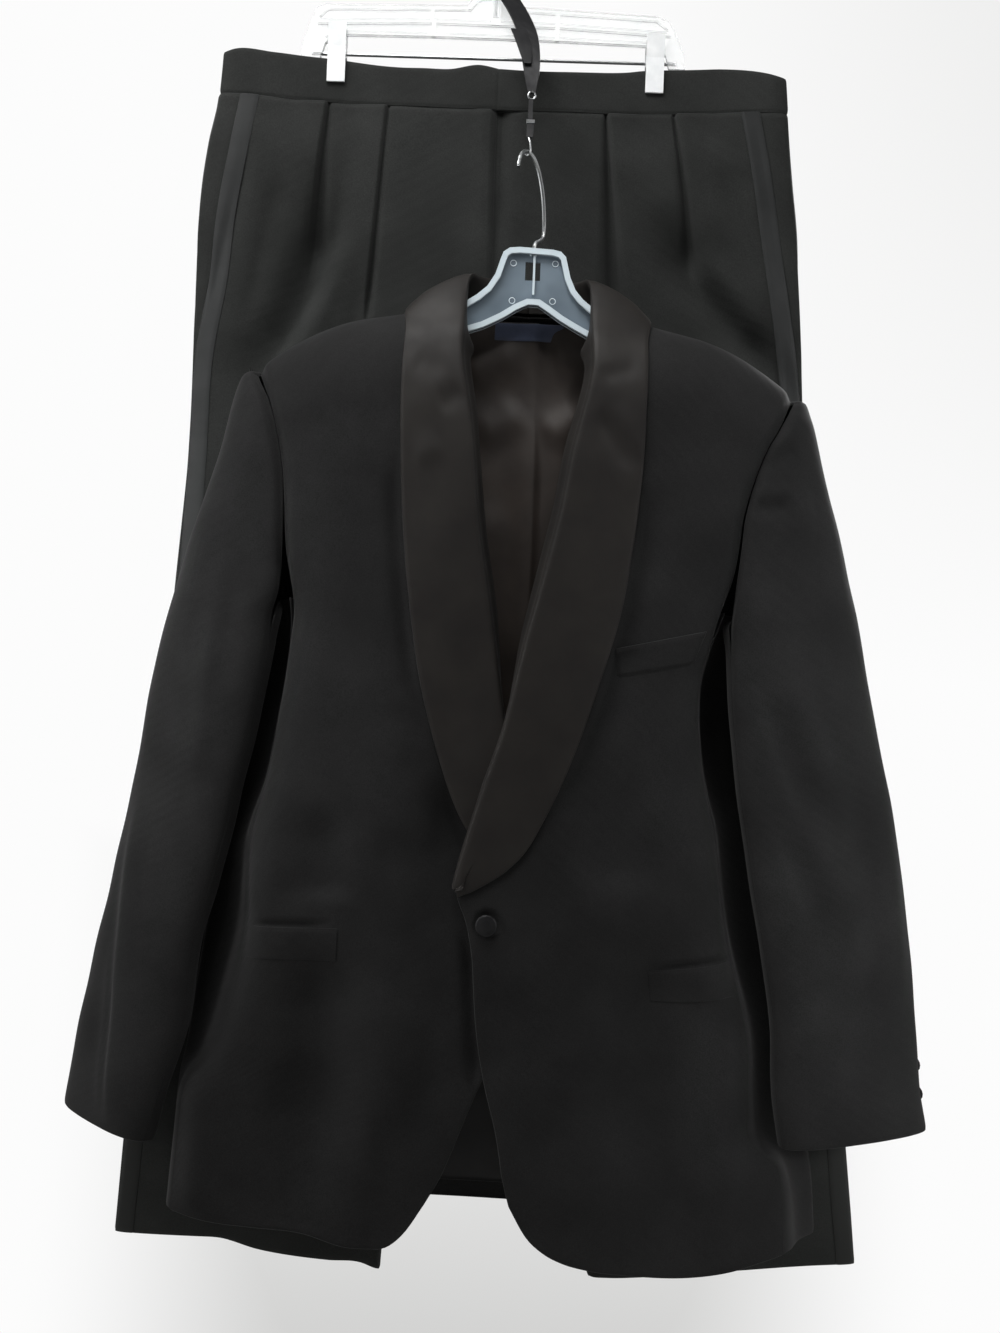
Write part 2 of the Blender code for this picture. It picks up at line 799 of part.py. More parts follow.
def make_collar(name, side, material):
    table = LAPEL_RIGHT if side > 0 else LAPEL_LEFT
    columns = list(table)[1:]
    sections = [lapel_section([table[c][i] for c in columns], side)
                for i in range(len(table["station"]))]
    lines = [line.split() for line in NECK_STATIONS.strip().splitlines()[1:]]
    sections += [neck_section([float(cell) for cell in line], side) for line in lines]
    sections = [np.array(section) for section in sections]
    last = len(sections) - 1

    def surface(u, v):
        return spline(list(spline(sections, v)), u)

    lapel = len(table["station"]) - 1
    stations = [0.0, 0.3, 0.6, 1.0, 1.5, 2.0, 2.5] + [float(i) for i in range(3, lapel + 1)]
    stations += [lapel + d for d in (0.33, 0.66, 1.0, 1.33, 1.66, 2.0, 2.5, 3.0, 3.5, 4.0)]
    places = [0.0, 1.0, 2.0, 2.8, 3.4, 4.0, 4.5, 5.0, 6.0]
    shares = [p / 6 for p in places]
    stations = [min(s, last - 1e-3) for s in stations]
    return wall(name, material, surface, lambda v: (0.0, 6.0), stations, shares, COLLAR_WALL,
                -side)


# --- trousers ----------------------------------------------------------------------------------
# By level: the outer silhouette, the side seam on the front face, and the inner edge of each leg.
LEG_LEFT = read_table("""
    level outer seam inner
    -1256 -315  -314 -64
    -1154 -309  -307 -58
    -1000 -300  -298 -48
    -800  -289  -287 -32
    -600  -279  -277 -10
    -520  -274  -273 1
    -455  -273  -272 11
    -385  -273  -267 12
    -363  -273  -261 12
    -319  -273  -257 12
    -274  -271  -253 12
    -224  -265  -244 11
    -187  -258  -237 10
    -130  -254  -234 10
""")
LEG_RIGHT = read_table("""
    level outer seam inner
    -1256 382   381  131
    -1154 370   369  108
    -1000 355   354  78
    -800  336   335  46
    -600  317   316  22
    -520  309   308  14
    -455  303   302  12
    -385  298   290  12
    -333  294   281  12
    -291  291   273  12
    -245  285   265  11
    -210  281   257  10
    -187  279   251  10
    -130  273   248  10
""")
BAND_TOP = read_table("""
    x    z
    -254 -133
    -240 -130
    -204 -133
    -150 -137
    -75  -144
    -28  -144
    -14  -139
    1    -142
    47   -143
    115  -140
    150  -136
    240  -133
    274  -138
""")
# The centre seam from the crotch up to the waist.
CENTRE_SEAM = read_table("""
    z    x
    -455 11.6
    -385 8
    -300 5
    -220 4
    -140 4.5
""")
LEG_HEM = read_table("""
    x    z
    -316 -1243
    -221 -1243
    -178 -1253
    -140 -1259
    -79  -1263
    -63  -1270
    130  -1269
    250  -1258
    353  -1248
    382  -1247
""")
# Pleats: x at the waist and where they vanish, the height at which they vanish, and their depth.
PLEATS = """
    x0   x1   end  depth
    -155 -169 -345 4.5
    -99  -113 -385 4.5
    108  132  -370 4.5
    172  203  -330 4.5
"""
CROTCH = -455.0
LEG_TOP = -180.0
LEG_BOTTOM = -1256.0
LEG_SQUARE = 3.2


def leg_height(x, level):
    if level > CROTCH:
        share = (level - CROTCH) / (LEG_TOP - CROTCH)
        return level + (waist_seam(x) - LEG_TOP) * share
    share = ((CROTCH - level) / (CROTCH - LEG_BOTTOM)) ** 2
    return level + (read(LEG_HEM, "z", x) - LEG_BOTTOM) * share


def waist_seam(x):
    return WAIST_Z + WAIST_RISE * x * x


def inner_edge(level, table):
    if level >= CROTCH:
        return read(CENTRE_SEAM, "x", level)
    return read(table, "inner", level)


def leg_point(turn, level, side):
    """Round one leg: turn 0 is its inner edge, 1 its outer edge by the front, 2 the inner again."""
    table = LEG_RIGHT if side > 0 else LEG_LEFT
    outer, inner = read(table, "outer", level), inner_edge(level, table)
    power = 2 / LEG_SQUARE
    c, s = math.cos(math.pi * turn), math.sin(math.pi * turn)
    across = -math.copysign(abs(c) ** power, c)
    deep = math.copysign(abs(s) ** power, s)
    if across < 0:
        closed = 1 - blend(CROTCH - 12, CROTCH + 25, level)
        full = 1.0 if turn < 1 else -1.0
        deep = closed * deep + (1 - closed) * full
    x = (outer + inner) / 2 + (outer - inner) / 2 * across
    half = TROUSER_HALF - 5.0 * blend(-230, -180, level) * blend(90, 20, abs(abs(x) - CLIP_X))
    return np.array((x, -half * deep, leg_height(x, level)))


def turn_at(x, level, side):
    return solve(lambda t: side * leg_point(t, level, side)[0], side * x, 0.001, 0.999)


def pleat_height(x, z):
    """Each pleat laps towards the fly: proud on its outer side, falling sharply at its fold."""
    height = 0.0
    for line in PLEATS.strip().splitlines()[1:]:
        x0, x1, end, depth = (float(cell) for cell in line.split())
        share = (z + BAND_HEIGHT + 142) / (end + BAND_HEIGHT + 142)
        if not 0 <= share <= 1.0:
            share = 0.0 if share < 0 else 1.0
        fold = x0 + (x1 - x0) * share
        beyond = (x - fold) * math.copysign(1, x0)
        if -1.5 < beyond < 34:
            shape = blend(-1.5, 0.5, beyond) * (1 - blend(0.5, 34, beyond))
            height += depth * shape * (1 - share) ** 0.8
    return height


def make_leg(side, word, material):
    table = LEG_RIGHT if side > 0 else LEG_LEFT
    levels = [LEG_TOP, -205, -235, -270, -310, -350, -395, -435, -467, -520, -620, -740, -860,
              -980, -1090, -1180, LEG_BOTTOM]

    def centre_turn(level):
        """The centre seam above the crotch stands half a seam gap from the other leg."""
        return turn_at(inner_edge(level, table) + side * SEAM_GAP / 2, level, side)

    def front_spans(level):
        start = centre_turn(level) if level > CROTCH else 0.03
        return start, turn_at(read(table, "seam", level) - side * SEAM_GAP / 2, level, side)

    def back_spans(level):
        start = turn_at(read(table, "seam", level) + side * SEAM_GAP / 2, level, side)
        end = 2 - centre_turn(level) if level > CROTCH else 2 + 0.03 - 0.002
        return start, end

    def relief(turn, level):
        x, _, z = leg_point(turn, level, side)
        return pleat_height(x, z)

    # columns stand on the folds of the pleats at the waist and spread with the leg below
    inner, seam = inner_edge(LEG_TOP, table), read(table, "seam", LEG_TOP)

    def column_turns(level):
        first, last = front_spans(level)
        z_share = min(1.0, max(0.0, (LEG_TOP - level) / 190))
        turns = [first]
        for line in PLEATS.strip().splitlines()[1:]:
            x0, x1, _, _ = (float(cell) for cell in line.split())
            if x0 * side < 0:
                continue
            fold = x0 + (x1 - x0) * z_share
            low = (LEG_TOP - level) / (LEG_TOP - LEG_BOTTOM)
            centre = (read(table, "outer", level) + inner_edge(level, table)) / 2
            fold += (centre - (seam + inner) / 2) * blend(0.1, 0.9, low)
            turns += [turn_at(fold + side * d, level, side) for d in (-1.5, 0.5, 12, 26)]
        turns.append(last)
        turns = sorted(turns)
        extra = [0.5 * (turns[0] + turns[1]), 0.5 * (turns[-1] + turns[-2])]
        return sorted(turns + extra)

    grid_walls(f"trouser_front_{word}", material, levels, column_turns,
               lambda t, level: leg_point(t, level, side), TROUSER_WALL, side, relief)
    wall(f"trouser_back_{word}", material, lambda t, level: leg_point(t, level, side),
         back_spans, levels, [0.0, 0.03, 0.09, 0.22, 0.38, 0.54, 0.7, 0.84, 0.94, 1.0],
         TROUSER_WALL, side)


def grid_walls(name, material, rows, columns, surface, thickness, facing, relief):
    """A wall whose columns are given row by row."""
    step = 1e-3
    outer, inner = [], []
    count = 0
    for v in rows:
        places = columns(v)
        count = len(places)
        for u in places:
            point = surface(u, v)
            along = surface(u + step, v) - surface(u - step, v)
            down = surface(u, v + step) - surface(u, v - step)
            normal = np.cross(along, down) * facing
            normal /= np.linalg.norm(normal)
            outer.append(point + normal * relief(u, v))
            inner.append(point - normal * thickness)
    return add_object(name, *closed_grid(outer, inner, len(rows), count), material)


def make_stripe(side, word, material):
    """The satin stripe lies on the front panel, its outer edge on the side seam."""
    table = LEG_RIGHT if side > 0 else LEG_LEFT
    width, lift, thickness = 17.0, 0.3, 0.8
    levels = [LEG_TOP, -235, -290, -350, -420, -520, -680, -860, -1040, -1180, LEG_BOTTOM]

    def spans(level):
        outer = read(table, "seam", level) - side * 0.6
        return (turn_at(outer - side * width, level, side), turn_at(outer, level, side))

    wall(f"side_stripe_{word}", material, lambda t, level: leg_point(t, level, side), spans,
         levels, even(3), thickness, side, lift + thickness)


def make_waistband(side, word, material):
    """One half of the waistband, from the fly round the side to the centre back."""
    table = LEG_RIGHT if side > 0 else LEG_LEFT
    centre = 4.5

    def band_point(turn, v):
        outer = read(table, "outer", -150 - 30 * v)
        power = 2 / LEG_SQUARE
        c, s = math.cos(math.pi * turn), math.sin(math.pi * turn)
        across = -math.copysign(abs(c) ** power, c)
        deep = math.copysign(abs(s) ** power, s)
        x = centre + (outer - centre) * across
        half = TROUSER_HALF + 0.4 - 5.4 * blend(90, 20, abs(abs(x) - CLIP_X))
        top, seam = read(BAND_TOP, "z", x), waist_seam(x) + SEAM_GAP * 2
        return np.array((x, -half * deep, (1 - v) * top + v * seam))

    def turn_for(distance):
        return solve(lambda t: side * band_point(t, 0)[0], side * centre + distance, 0.5, 1.0)

    width = abs(read(table, "outer", -150) - centre)
    distances = [SEAM_GAP / 2, 17, 46, 90, 120, 134, 165, 185, 210, width - 8, width - 1.5]
    turns = [turn_for(d) for d in distances] + [1.0]
    turns += [2 - t for t in reversed(turns[:-1])]
    shares = [(t - turns[0]) / (turns[-1] - turns[0]) for t in turns]
    wall(f"waistband_{word}", material, band_point, lambda v: (turns[0], turns[-1]),
         [0.0, 0.5, 1.0], shares, TROUSER_WALL + 0.5, -side)


# --- buttons -------------------------------------------------------------------------------------
def make_button(name, centre, normal, radius, height, material, sides=16):
    """A covered button: a domed cap on a short shank, its underside at centre."""
    axis = np.array(normal) / np.linalg.norm(normal)
    helper = np.array((0.0, 0.0, 1.0))
    right = np.cross(helper, axis)
    right /= np.linalg.norm(right)
    up = np.cross(axis, right)
    profile = [(0.35, 0.0), (0.35, 0.3), (0.92, 0.36), (1.0, 0.6), (0.86, 0.85), (0.5, 0.98)]
    vertices = []
    for share, level in profile:
        for i in range(sides):
            t = 2 * math.pi * i / sides
            vertices.append(centre + axis * level * height
                            + (right * math.cos(t) + up * math.sin(t)) * radius * share)
    vertices += [np.array(centre, float), centre + axis * height]
    low, high = len(vertices) - 2, len(vertices) - 1
    faces = []
    for ring in range(len(profile) - 1):
        for i in range(sides):
            j = (i + 1) % sides
            a, b = ring * sides + i, ring * sides + j
            faces += [(a, b, b + sides, a + sides)]
    top = (len(profile) - 1) * sides
    for i in range(sides):
        j = (i + 1) % sides
        faces += [(low, j, i), (high, top + i, top + j)]
    return add_object(name, vertices, faces, material)


def make_cuff_buttons(side, word, material):
    radius, height = 6.5, 4.0
    angle = 3.22
    for index, level in enumerate((-1048.0, -1075.0)):
        level += 0.0 if side > 0 else -6.0
        point = sleeve_point(angle, level, side)
        step = 1e-3
        along = sleeve_point(angle + step, level, side) - sleeve_point(angle - step, level, side)
        down = sleeve_point(angle, level + step, side) - sleeve_point(angle, level - step, side)
        normal = np.cross(along, down) * side
        normal /= np.linalg.norm(normal)
        make_button(f"cuff_button_{word}_{index + 1}", point + normal * SEAM_GAP, normal, radius,
                    height, material, 12)


# --- hangers, wires and strap --------------------------------------------------------------------
def make_wire(name, points, radius, material, samples=5, sides=2):
    """A round wire on a smooth curve through the points."""
    points = [np.array(p, float) for p in points]
    count = (len(points) - 1) * samples + 1
    curve = bpy.data.curves.new(name, "CURVE")
    curve.dimensions = "3D"
    curve.bevel_depth = radius * MM
    curve.bevel_resolution = sides
    curve.use_fill_caps = True
    line = curve.splines.new("POLY")
    line.points.add(count - 1)
    for i in range(count):
        place = spline(points, i / samples)
        line.points[i].co = (*(place * MM), 1.0)
    curve.materials.append(material)
    obj = bpy.data.objects.new(name, curve)
    bpy.context.scene.collection.objects.link(obj)
    return obj


def extrude_outline(name, outline, y0, y1, material):
    """A flat piece: an (x, z) outline made solid between two depths."""
    count = len(outline)
    vertices = [(x, y0, z) for x, z in outline] + [(x, y1, z) for x, z in outline]
    faces = [tuple(range(count)), tuple(reversed(range(count, 2 * count)))]
    for i in range(count):
        j = (i + 1) % count
        faces.append((i, j, count + j, count + i))
    return add_object(name, vertices, faces, material)


def inset(outline, distance):
    """The outline moved inwards by the distance, corner by corner."""
    area = sum(a[0] * b[1] - b[0] * a[1] for a, b in zip(outline, outline[1:] + outline[:1]))
    turn = 1 if area > 0 else -1
    result = []
    count = len(outline)
    for i in range(count):
        before, here, after = (np.array(outline[(i + k) % count], float) for k in (-1, 0, 1))
        a, b = here - before, after - here
        a, b = a / np.linalg.norm(a), b / np.linalg.norm(b)
        normal_a, normal_b = np.array((-a[1], a[0])) * turn, np.array((-b[1], b[0])) * turn
        both = normal_a + normal_b
        both /= max(np.dot(both, normal_a), 0.4)
        result.append(tuple(here + both * distance))
    return result


def cut(obj, cutter, operation="DIFFERENCE"):
    cutter.hide_render = True
    cutter.display_type = "WIRE"
    modifier = obj.modifiers.new(cutter.name, "BOOLEAN")
    modifier.operation = operation
    modifier.object = cutter


def make_jacket_hanger(material, wire):
    """A moulded hanger: an outline with raised rims, a recessed web, a slot and four bosses."""
    half_depth, web, rim = 6.5, 1.5, 5.0
    arm_top = [(66, -384), (88, -391), (110, -394.5), (160, -406), (203, -426)]
    arm_tip = [(214, -433), (219, -441), (214, -449)]
    arm_bottom = [(200, -448), (160, -437), (110, -424), (72, -410)]
    top = [(-27, -337), (-24.5, -330), (-19, -326), (-10, -325), (20, -326), (27, -327.5),
           (31.5, -332), (33, -338)]
    right_flank = [(36, -350), (41, -361), (48, -369), (57, -376)]
    left_flank = [(-57, -376), (-47, -369.5), (-38, -361.5), (-31, -350)]
    arch = [(57, -404), (42, -396.5), (28, -389), (16, -381), (8, -376), (-1, -376),
            (-11, -381), (-23, -389), (-40, -398), (-57, -404)]
    outline = (top + right_flank + arm_top + arm_tip + arm_bottom + arch
               + [(-x, z) for x, z in reversed(arm_bottom)] + [(-x, z) for x, z in reversed(arm_tip)]
               + [(-x, z) for x, z in reversed(arm_top)] + left_flank)
    tilted = [(x + JACKET_X, z + SHOULDER_TILT * x) for x, z in outline]
    body = extrude_outline("jacket_hanger", tilted, HANGER_Y - half_depth,
                           HANGER_Y + half_depth, material)
    pocket = inset(tilted, rim)
    for word, y0, y1 in (("front", HANGER_Y - half_depth - 2, HANGER_Y - web),
                         ("back", HANGER_Y + web, HANGER_Y + half_depth + 2)):
        cut(body, extrude_outline(f"hanger_pocket_{word}", pocket, y0, y1, material))
    slot = [(JACKET_X - 4.5, -337), (JACKET_X + 9, -337), (JACKET_X + 9, -353.5),
            (JACKET_X - 4.5, -353.5)]
    cut(body, extrude_outline("hanger_slot", slot, HANGER_Y - 9, HANGER_Y + 9, material))
    socket = [(JACKET_X - 1, -323), (JACKET_X + 5.5, -323), (JACKET_X + 5.5, -331.5),
              (JACKET_X - 1, -331.5)]
    cut(body, extrude_outline("hanger_socket", socket, HANGER_Y - 3.2, HANGER_Y + 3.2, material))
    x0, y0 = JACKET_X, HANGER_Y
    route = [(2.3, 0.0, -331.0), (2.5, 0.0, -324), (4, 1.5, -319), (9.5, 9.0, -313.5),
             (11, 12, -306), (10.5, 11, -290), (8.5, 8.5, -272), (4.5, 3.5, -255),
             (-0.5, -3.0, -244.5), (-6.5, -9.5, -240.5), (-11.5, -16, -244.5),
             (-13.8, -20, -254), (-14, -21, -258)]
    make_wire("jacket_hanger_hook", [(x + x0, y + y0, z) for x, y, z in route], WIRE, wire, 3)


def make_clip_hanger(material, clip_material, wire):
    half_depth, web, rim = 3.5, 1.1, 3.2
    outline = [(-172, -97), (-169, -88), (-160, -84), (-60, -81), (-27, -80), (-22, -73),
               (-14, -69), (12, -69), (19, -73), (24, -80), (60, -81), (152, -84), (163, -88),
               (168, -97), (178, -119), (179, -133), (164, -133), (161, -121), (152, -112),
               (60, -110.5), (-60, -110.5), (-152, -112), (-160, -121), (-164, -135),
               (-182, -135), (-181, -122)]
    body = extrude_outline("clip_hanger", outline, -half_depth, half_depth, material)
    panes = [[(-166, -96), (-158, -88), (-62, -85), (-62, -94), (-165, -98)],
             [(-58, -85), (-24, -84), (-18, -76), (-12, -73), (-4.5, -73), (-4.5, -94), (-58, -94)],
             [(4.5, -73), (10, -73), (16, -76), (22, -84), (56, -85), (56, -94), (4.5, -94)],
             [(60, -85), (151, -88), (162, -96), (161, -98), (60, -94)],
             [(-168, -102), (-60, -98), (-60, -107), (-150, -108.5), (-160, -115)],
             [(-56, -98), (56, -98), (56, -107), (-56, -107)],
             [(60, -98), (165, -102), (160, -115), (150, -108.5), (60, -107)]]
    for index, pane in enumerate(panes):
        for word, y0, y1 in (("front", -half_depth - 2, -web), ("back", web, half_depth + 2)):
            cut(body, extrude_outline(f"pane_{index}_{word}", pane, y0, y1, material))
    rod_radius, rod_ends = 1.6, ((-172.0, -130.2), (171.0, -127.6))
    for index, (x, z) in enumerate(rod_ends):
        bore = make_wire(f"rod_bore_{index}", [(x, 0, z), (x - math.copysign(14, x), 0, z)],
                         rod_radius + 0.35, material, 1, 2)
        bore_mesh = bpy.data.objects.new(f"rod_bore_mesh_{index}", bore.to_mesh().copy())
        bpy.context.scene.collection.objects.link(bore_mesh)
        bpy.data.objects.remove(bore)
        cut(body, bore_mesh)
    socket = [(-3, -60), (3, -60), (3, -90), (-3, -90)]
    cut(body, extrude_outline("clip_hanger_socket", socket, -2.2, 2.2, material))
    make_wire("clip_rod", [(-170.5, 0, -130.2), (0, 0, -128.9), (169.5, 0, -127.6)], rod_radius,
              wire, 1, 2)
    route = [(0, 0, -89.5), (0, 0, -74), (0, 0, -58), (7.5, 0, -49), (18.5, 0, -38),
             (22.5, 0, -24), (19, 0, -9.5), (11, 0, -1), (0, 0, WIRE), (-11, 0, -1),
             (-19, 0, -9.5), (-22.5, 0, -23), (-21, 0, -34)]
    make_wire("clip_hanger_hook", route, WIRE, wire, 3)
    for word, x in (("left", -CLIP_X + 2.0), ("right", CLIP_X + 0.6)):
        make_clip(word, x, clip_material)


def make_clip(word, x, material):
    """A clip in profile: two jaws joined by a bridge that the rod runs through."""
    half_width = 8.4
    jaw = TROUSER_HALF + 0.4 - 5.4 + SEAM_GAP
    drop = 0.6 if x > 0 else 0.0
    front = [(-10.5, -103), (-8.5, -103), (-5.2, -121), (5.2, -121), (8.5, -103), (10.5, -103),
             (8.4, -125), (jaw + 2.2, -140), (jaw + 2.4, -158), (jaw, -158), (jaw, -134.9),
             (4.4, -133.3), (-4.4, -133.3), (-jaw, -134.9), (-jaw, -158), (-jaw - 2.4, -158),
             (-jaw - 2.2, -140), (-8.4, -125)]
    count = len(front)
    vertices = [(x - half_width, y, z + drop) for y, z in front]
    vertices += [(x + half_width, y, z + drop) for y, z in front]
    faces = [tuple(range(count)), tuple(reversed(range(count, 2 * count)))]
    for i in range(count):
        j = (i + 1) % count
        faces.append((i, j, count + j, count + i))
    clip = add_object(f"clip_{word}", vertices, faces, material)
    rod_z = -130.2 + 2.6 * (x + 172.0) / 343.0
    sides, radius = 12, 2.05
    ring = [(radius * math.cos(2 * math.pi * i / sides), rod_z + radius * math.sin(2 * math.pi * i / sides))
            for i in range(sides)]
    vertices = [(x - half_width - 2, y, z) for y, z in ring]
    vertices += [(x + half_width + 2, y, z) for y, z in ring]
    faces = [tuple(range(sides)), tuple(reversed(range(sides, 2 * sides)))]
    for i in range(sides):
        j = (i + 1) % sides
        faces.append((i, j, sides + j, sides + i))
    cut(clip, add_object(f"clip_bore_{word}", vertices, faces, material))


def make_ribbon(name, stations, thickness, material, samples=3):
    """A flat band along stations of (x, y, z, half width, twist in degrees)."""
    stations = [np.array(s, float) for s in stations]
    rows = [i / samples for i in range((len(stations) - 1) * samples + 1)]

    def surface(u, v):
        x, y, z, half, twist = spline(stations, v)
        angle = math.radians(twist)
        return np.array((x + u * half * math.cos(angle), y + u * half * math.sin(angle), z))

    return wall(name, material, surface, lambda v: (-1.0, 1.0), rows, even(3), thickness, -1)


def make_strap(satin, metal):
    """The strap that the jacket hangs from: a folded satin band, a ring, a tape and a clasp."""
    band = [(6, -4.9, -61, 6.5, 8), (11, -9.5, -72, 9, 12), (22, -20, -93, 9.5, 16),
            (31, -31, -118, 9, 6), (34.5, -44, -148, 8, -6), (35.5, -54, -172, 4.6, 0),
            (35.8, -57, -179, 3.2, 0)]
    main = make_ribbon("strap_band", band, 2.4, satin)
    # a collar of the band goes round the hook's stem and carries the rest
    sides, inner, outer = 16, WIRE + SEAM_GAP + 0.25, WIRE + 3.2
    vertices, faces = [], []
    for radius in (inner, outer):
        for z in (-67.0, -59.0):
            for i in range(sides):
                t = 2 * math.pi * i / sides
                vertices.append((radius * math.cos(t), radius * math.sin(t), z))
    for i in range(sides):
        j = (i + 1) % sides
        faces += [(i, j, sides + j, sides + i),
                  (2 * sides + i, 3 * sides + i, 3 * sides + j, 2 * sides + j),
                  (i, 2 * sides + i, 2 * sides + j, j),
                  (sides + i, sides + j, 3 * sides + j, 3 * sides + i)]
    cut(main, add_object("strap_collar", vertices, faces, satin), "UNION")
    flap = [(22, -31.5, -112, 7.5, 10), (26, -36.5, -124, 6.8, 8), (29, -42.0, -137, 5.4, 4),
            (31, -47.5, -149, 3.2, 0)]
    make_ribbon("strap_flap", flap, 1.4, satin)
    ring_z, ring_y = -182.4, -58.4
    make_wire("strap_ring", ring_points(36.0, ring_y, ring_z, 3.4), 0.8, metal, 1, 1)
    tape = [(35.4, -60.3, -186.1, 2.0, 0), (35.2, -66.5, -198, 2.0, 0), (35.4, -72.0, -209, 2.1, 0)]
    make_ribbon("strap_tape", tape, 1.4, satin, 2)
    end = [(35.6, -74.0, -213, 3.0, 0), (35.5, -78.5, -222, 3.1, 0), (35.2, -81.0, -227.5, 2.8, 0)]
    make_ribbon("strap_end", end, 1.6, satin, 2)
    slider = [(31.8, -212.6), (39.4, -212.6), (39.4, -209.6), (31.8, -209.6)]
    extrude_outline("strap_slider", slider, -74.5, -71.0, metal)
    clasp = [(34.6, -81.2, -228.3), (36.0, -83.2, -233.0), (36.5, -83.9, -239.5),
             (35.9, -83.2, -242.6), (34.0, -81.5, -243.9), (32.0, -79.7, -242.6)]
    make_wire("strap_clasp", clasp, 0.9, metal, 3, 1)


def ring_points(x, y, z, radius, count=13):
    return [(x + radius * math.sin(2 * math.pi * i / count), y,
             z + radius * math.cos(2 * math.pi * i / count)) for i in range(count)]


def shift_jacket(names):
    """The jacket is modelled about its own centre and hangs beside the clip hanger's."""
    for name in names:
        for vertex in bpy.data.objects[name].data.vertices:
            vertex.co.x += JACKET_X * MM


def main():
    for obj in list(bpy.data.objects):
        bpy.data.objects.remove(obj, do_unlink=True)

    wool = make_material("black_wool", (0.012, 0.012, 0.013), 0.85)
    satin = make_material("black_satin", (0.022, 0.019, 0.018), 0.42)
    lining = make_material("lining_satin", (0.035, 0.03, 0.027), 0.4)
    label = make_material("label_cloth", (0.03, 0.04, 0.08), 0.6)
    smoke = make_material("smoked_plastic", (0.35, 0.4, 0.46), 0.25, alpha=0.6)
    clear = make_material("clear_plastic", (0.85, 0.87, 0.88), 0.15, alpha=0.4)
    white = make_material("milky_plastic", (0.8, 0.82, 0.83), 0.3)
    steel = make_material("zinc_plated_wire", (0.55, 0.55, 0.55), 0.3, 1.0)

    before = set(bpy.data.objects)
    for side, word in ((-1, "left"), (1, "right")):
        make_front(f"jacket_front_{word}", side, wool)
        make_side(f"jacket_side_{word}", side, wool)
        make_back(f"jacket_back_{word}", side, wool)
        make_sleeve(side, word, wool)
        make_collar(f"shawl_collar_{word}", side, satin)
        make_cuff_buttons(side, word, satin)
    make_lining("back_lining", lining)
    make_patch("neck_label", label, [(-30, -384.5), (45, -384.5), (45, -400), (-30, -400)], 1, 7,
               4, 0.6, 1.1, inside=True)
    make_patch("chest_welt", wool, [(87, -681), (165, -663), (155, -692), (89, -706)], 1, 6, 3,
               1.3, 0.7)
    make_patch("pocket_flap_right", wool, [(127, -962), (203, -950), (204, -980), (131, -990)], 1,
               8, 3, 1.8, 0.7)
    make_patch("pocket_flap_left", wool, [(-229, -935), (-146, -933), (-147, -962), (-230, -962)],
               -1, 8, 3, 1.8, 0.7)
    button = front_point(-17, -924, 1)
    make_button("front_button", button + np.array((0, -SEAM_GAP, 0)), (0, -1, 0), 9.5, 5.0, satin)
    shift_jacket([obj.name for obj in set(bpy.data.objects) - before])

    for side, word in ((-1, "left"), (1, "right")):
        make_leg(side, word, wool)
        make_waistband(side, word, wool)
        make_stripe(side, word, satin)
    make_jacket_hanger(smoke, steel)
    make_clip_hanger(clear, white, steel)
    make_strap(satin, steel)


main()
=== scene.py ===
# A shawl-collar tuxedo jacket on its moulded hanger, hung by a satin strap in front of
# pleated trousers on a clip hanger. Sizes are in millimetres until a mesh is made.
import math

import bpy
import numpy as np
from mathutils import Matrix, Vector


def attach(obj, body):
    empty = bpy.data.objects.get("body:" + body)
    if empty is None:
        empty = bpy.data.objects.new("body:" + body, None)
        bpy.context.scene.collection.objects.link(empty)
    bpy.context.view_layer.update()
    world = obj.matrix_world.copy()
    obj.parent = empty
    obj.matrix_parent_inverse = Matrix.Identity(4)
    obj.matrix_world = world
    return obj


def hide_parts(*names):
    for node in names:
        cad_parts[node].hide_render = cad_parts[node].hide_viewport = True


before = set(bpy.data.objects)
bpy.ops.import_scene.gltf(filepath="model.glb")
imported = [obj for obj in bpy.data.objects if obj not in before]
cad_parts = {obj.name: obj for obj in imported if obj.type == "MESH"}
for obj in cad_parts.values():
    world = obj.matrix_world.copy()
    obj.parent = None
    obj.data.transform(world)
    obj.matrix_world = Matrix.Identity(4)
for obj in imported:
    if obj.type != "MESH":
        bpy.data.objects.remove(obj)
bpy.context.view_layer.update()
print("loaded the frame:", len(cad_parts), "nodes")

mm = 0.001
bothSides = (("left", -1), ("right", 1))     # as the viewer sees them

view = {
    "place": (0.027, -1.515, -0.700),
    "roll": 2.2,                   # degrees that the picture leans
    "lens": 28.97,                 # on a sensor 24 mm high
}
# the room's shares are parts of the direction looked in, from -1 to 1
room = {
    "wall": "#fcfcfc",
    "foot": "#d0d0cf",             # the wall is shaded low down in the middle
    "footUp": (-0.40, -0.1), "footAside": (0.08, 0.26),
    "corner": "#d9d9d8",           # and a little in its upper right corner
    "cornerAside": (0.05, 0.5), "cornerUp": (0.0, 0.45),
    "fill": (0.11, 0.10),          # light on the cloth from in front and from behind it
    "fillDepth": (-0.3, 0.4),
    "floor": "#d9d8d6", "floorSize": (3.6, 2.7), "floorPlace": (0, -1.1, -1.46),
}


def linear(colour):
    parts = [int(colour[i:i + 2], 16) / 255 for i in (1, 3, 5)]
    parts = [p / 12.92 if p <= 0.04045 else ((p + 0.055) / 1.055) ** 2.4 for p in parts]
    return (*parts, 1.0)


def addNode(tree, kind, settings=None, inputs=None, stops=()):
    # one node with its settings, its sockets' values or links, and its ramp's stops
    node = tree.nodes.new(kind)
    for name, value in (settings or {}).items():
        setattr(node, name, value)
    for socket, value in (inputs or {}).items():
        if isinstance(value, bpy.types.NodeSocket):
            tree.links.new(value, node.inputs[socket])
        else:
            node.inputs[socket].default_value = value
    for index, (place, colour) in enumerate(stops):
        node.color_ramp.elements[index].position = place
        node.color_ramp.elements[index].color = colour
    return node


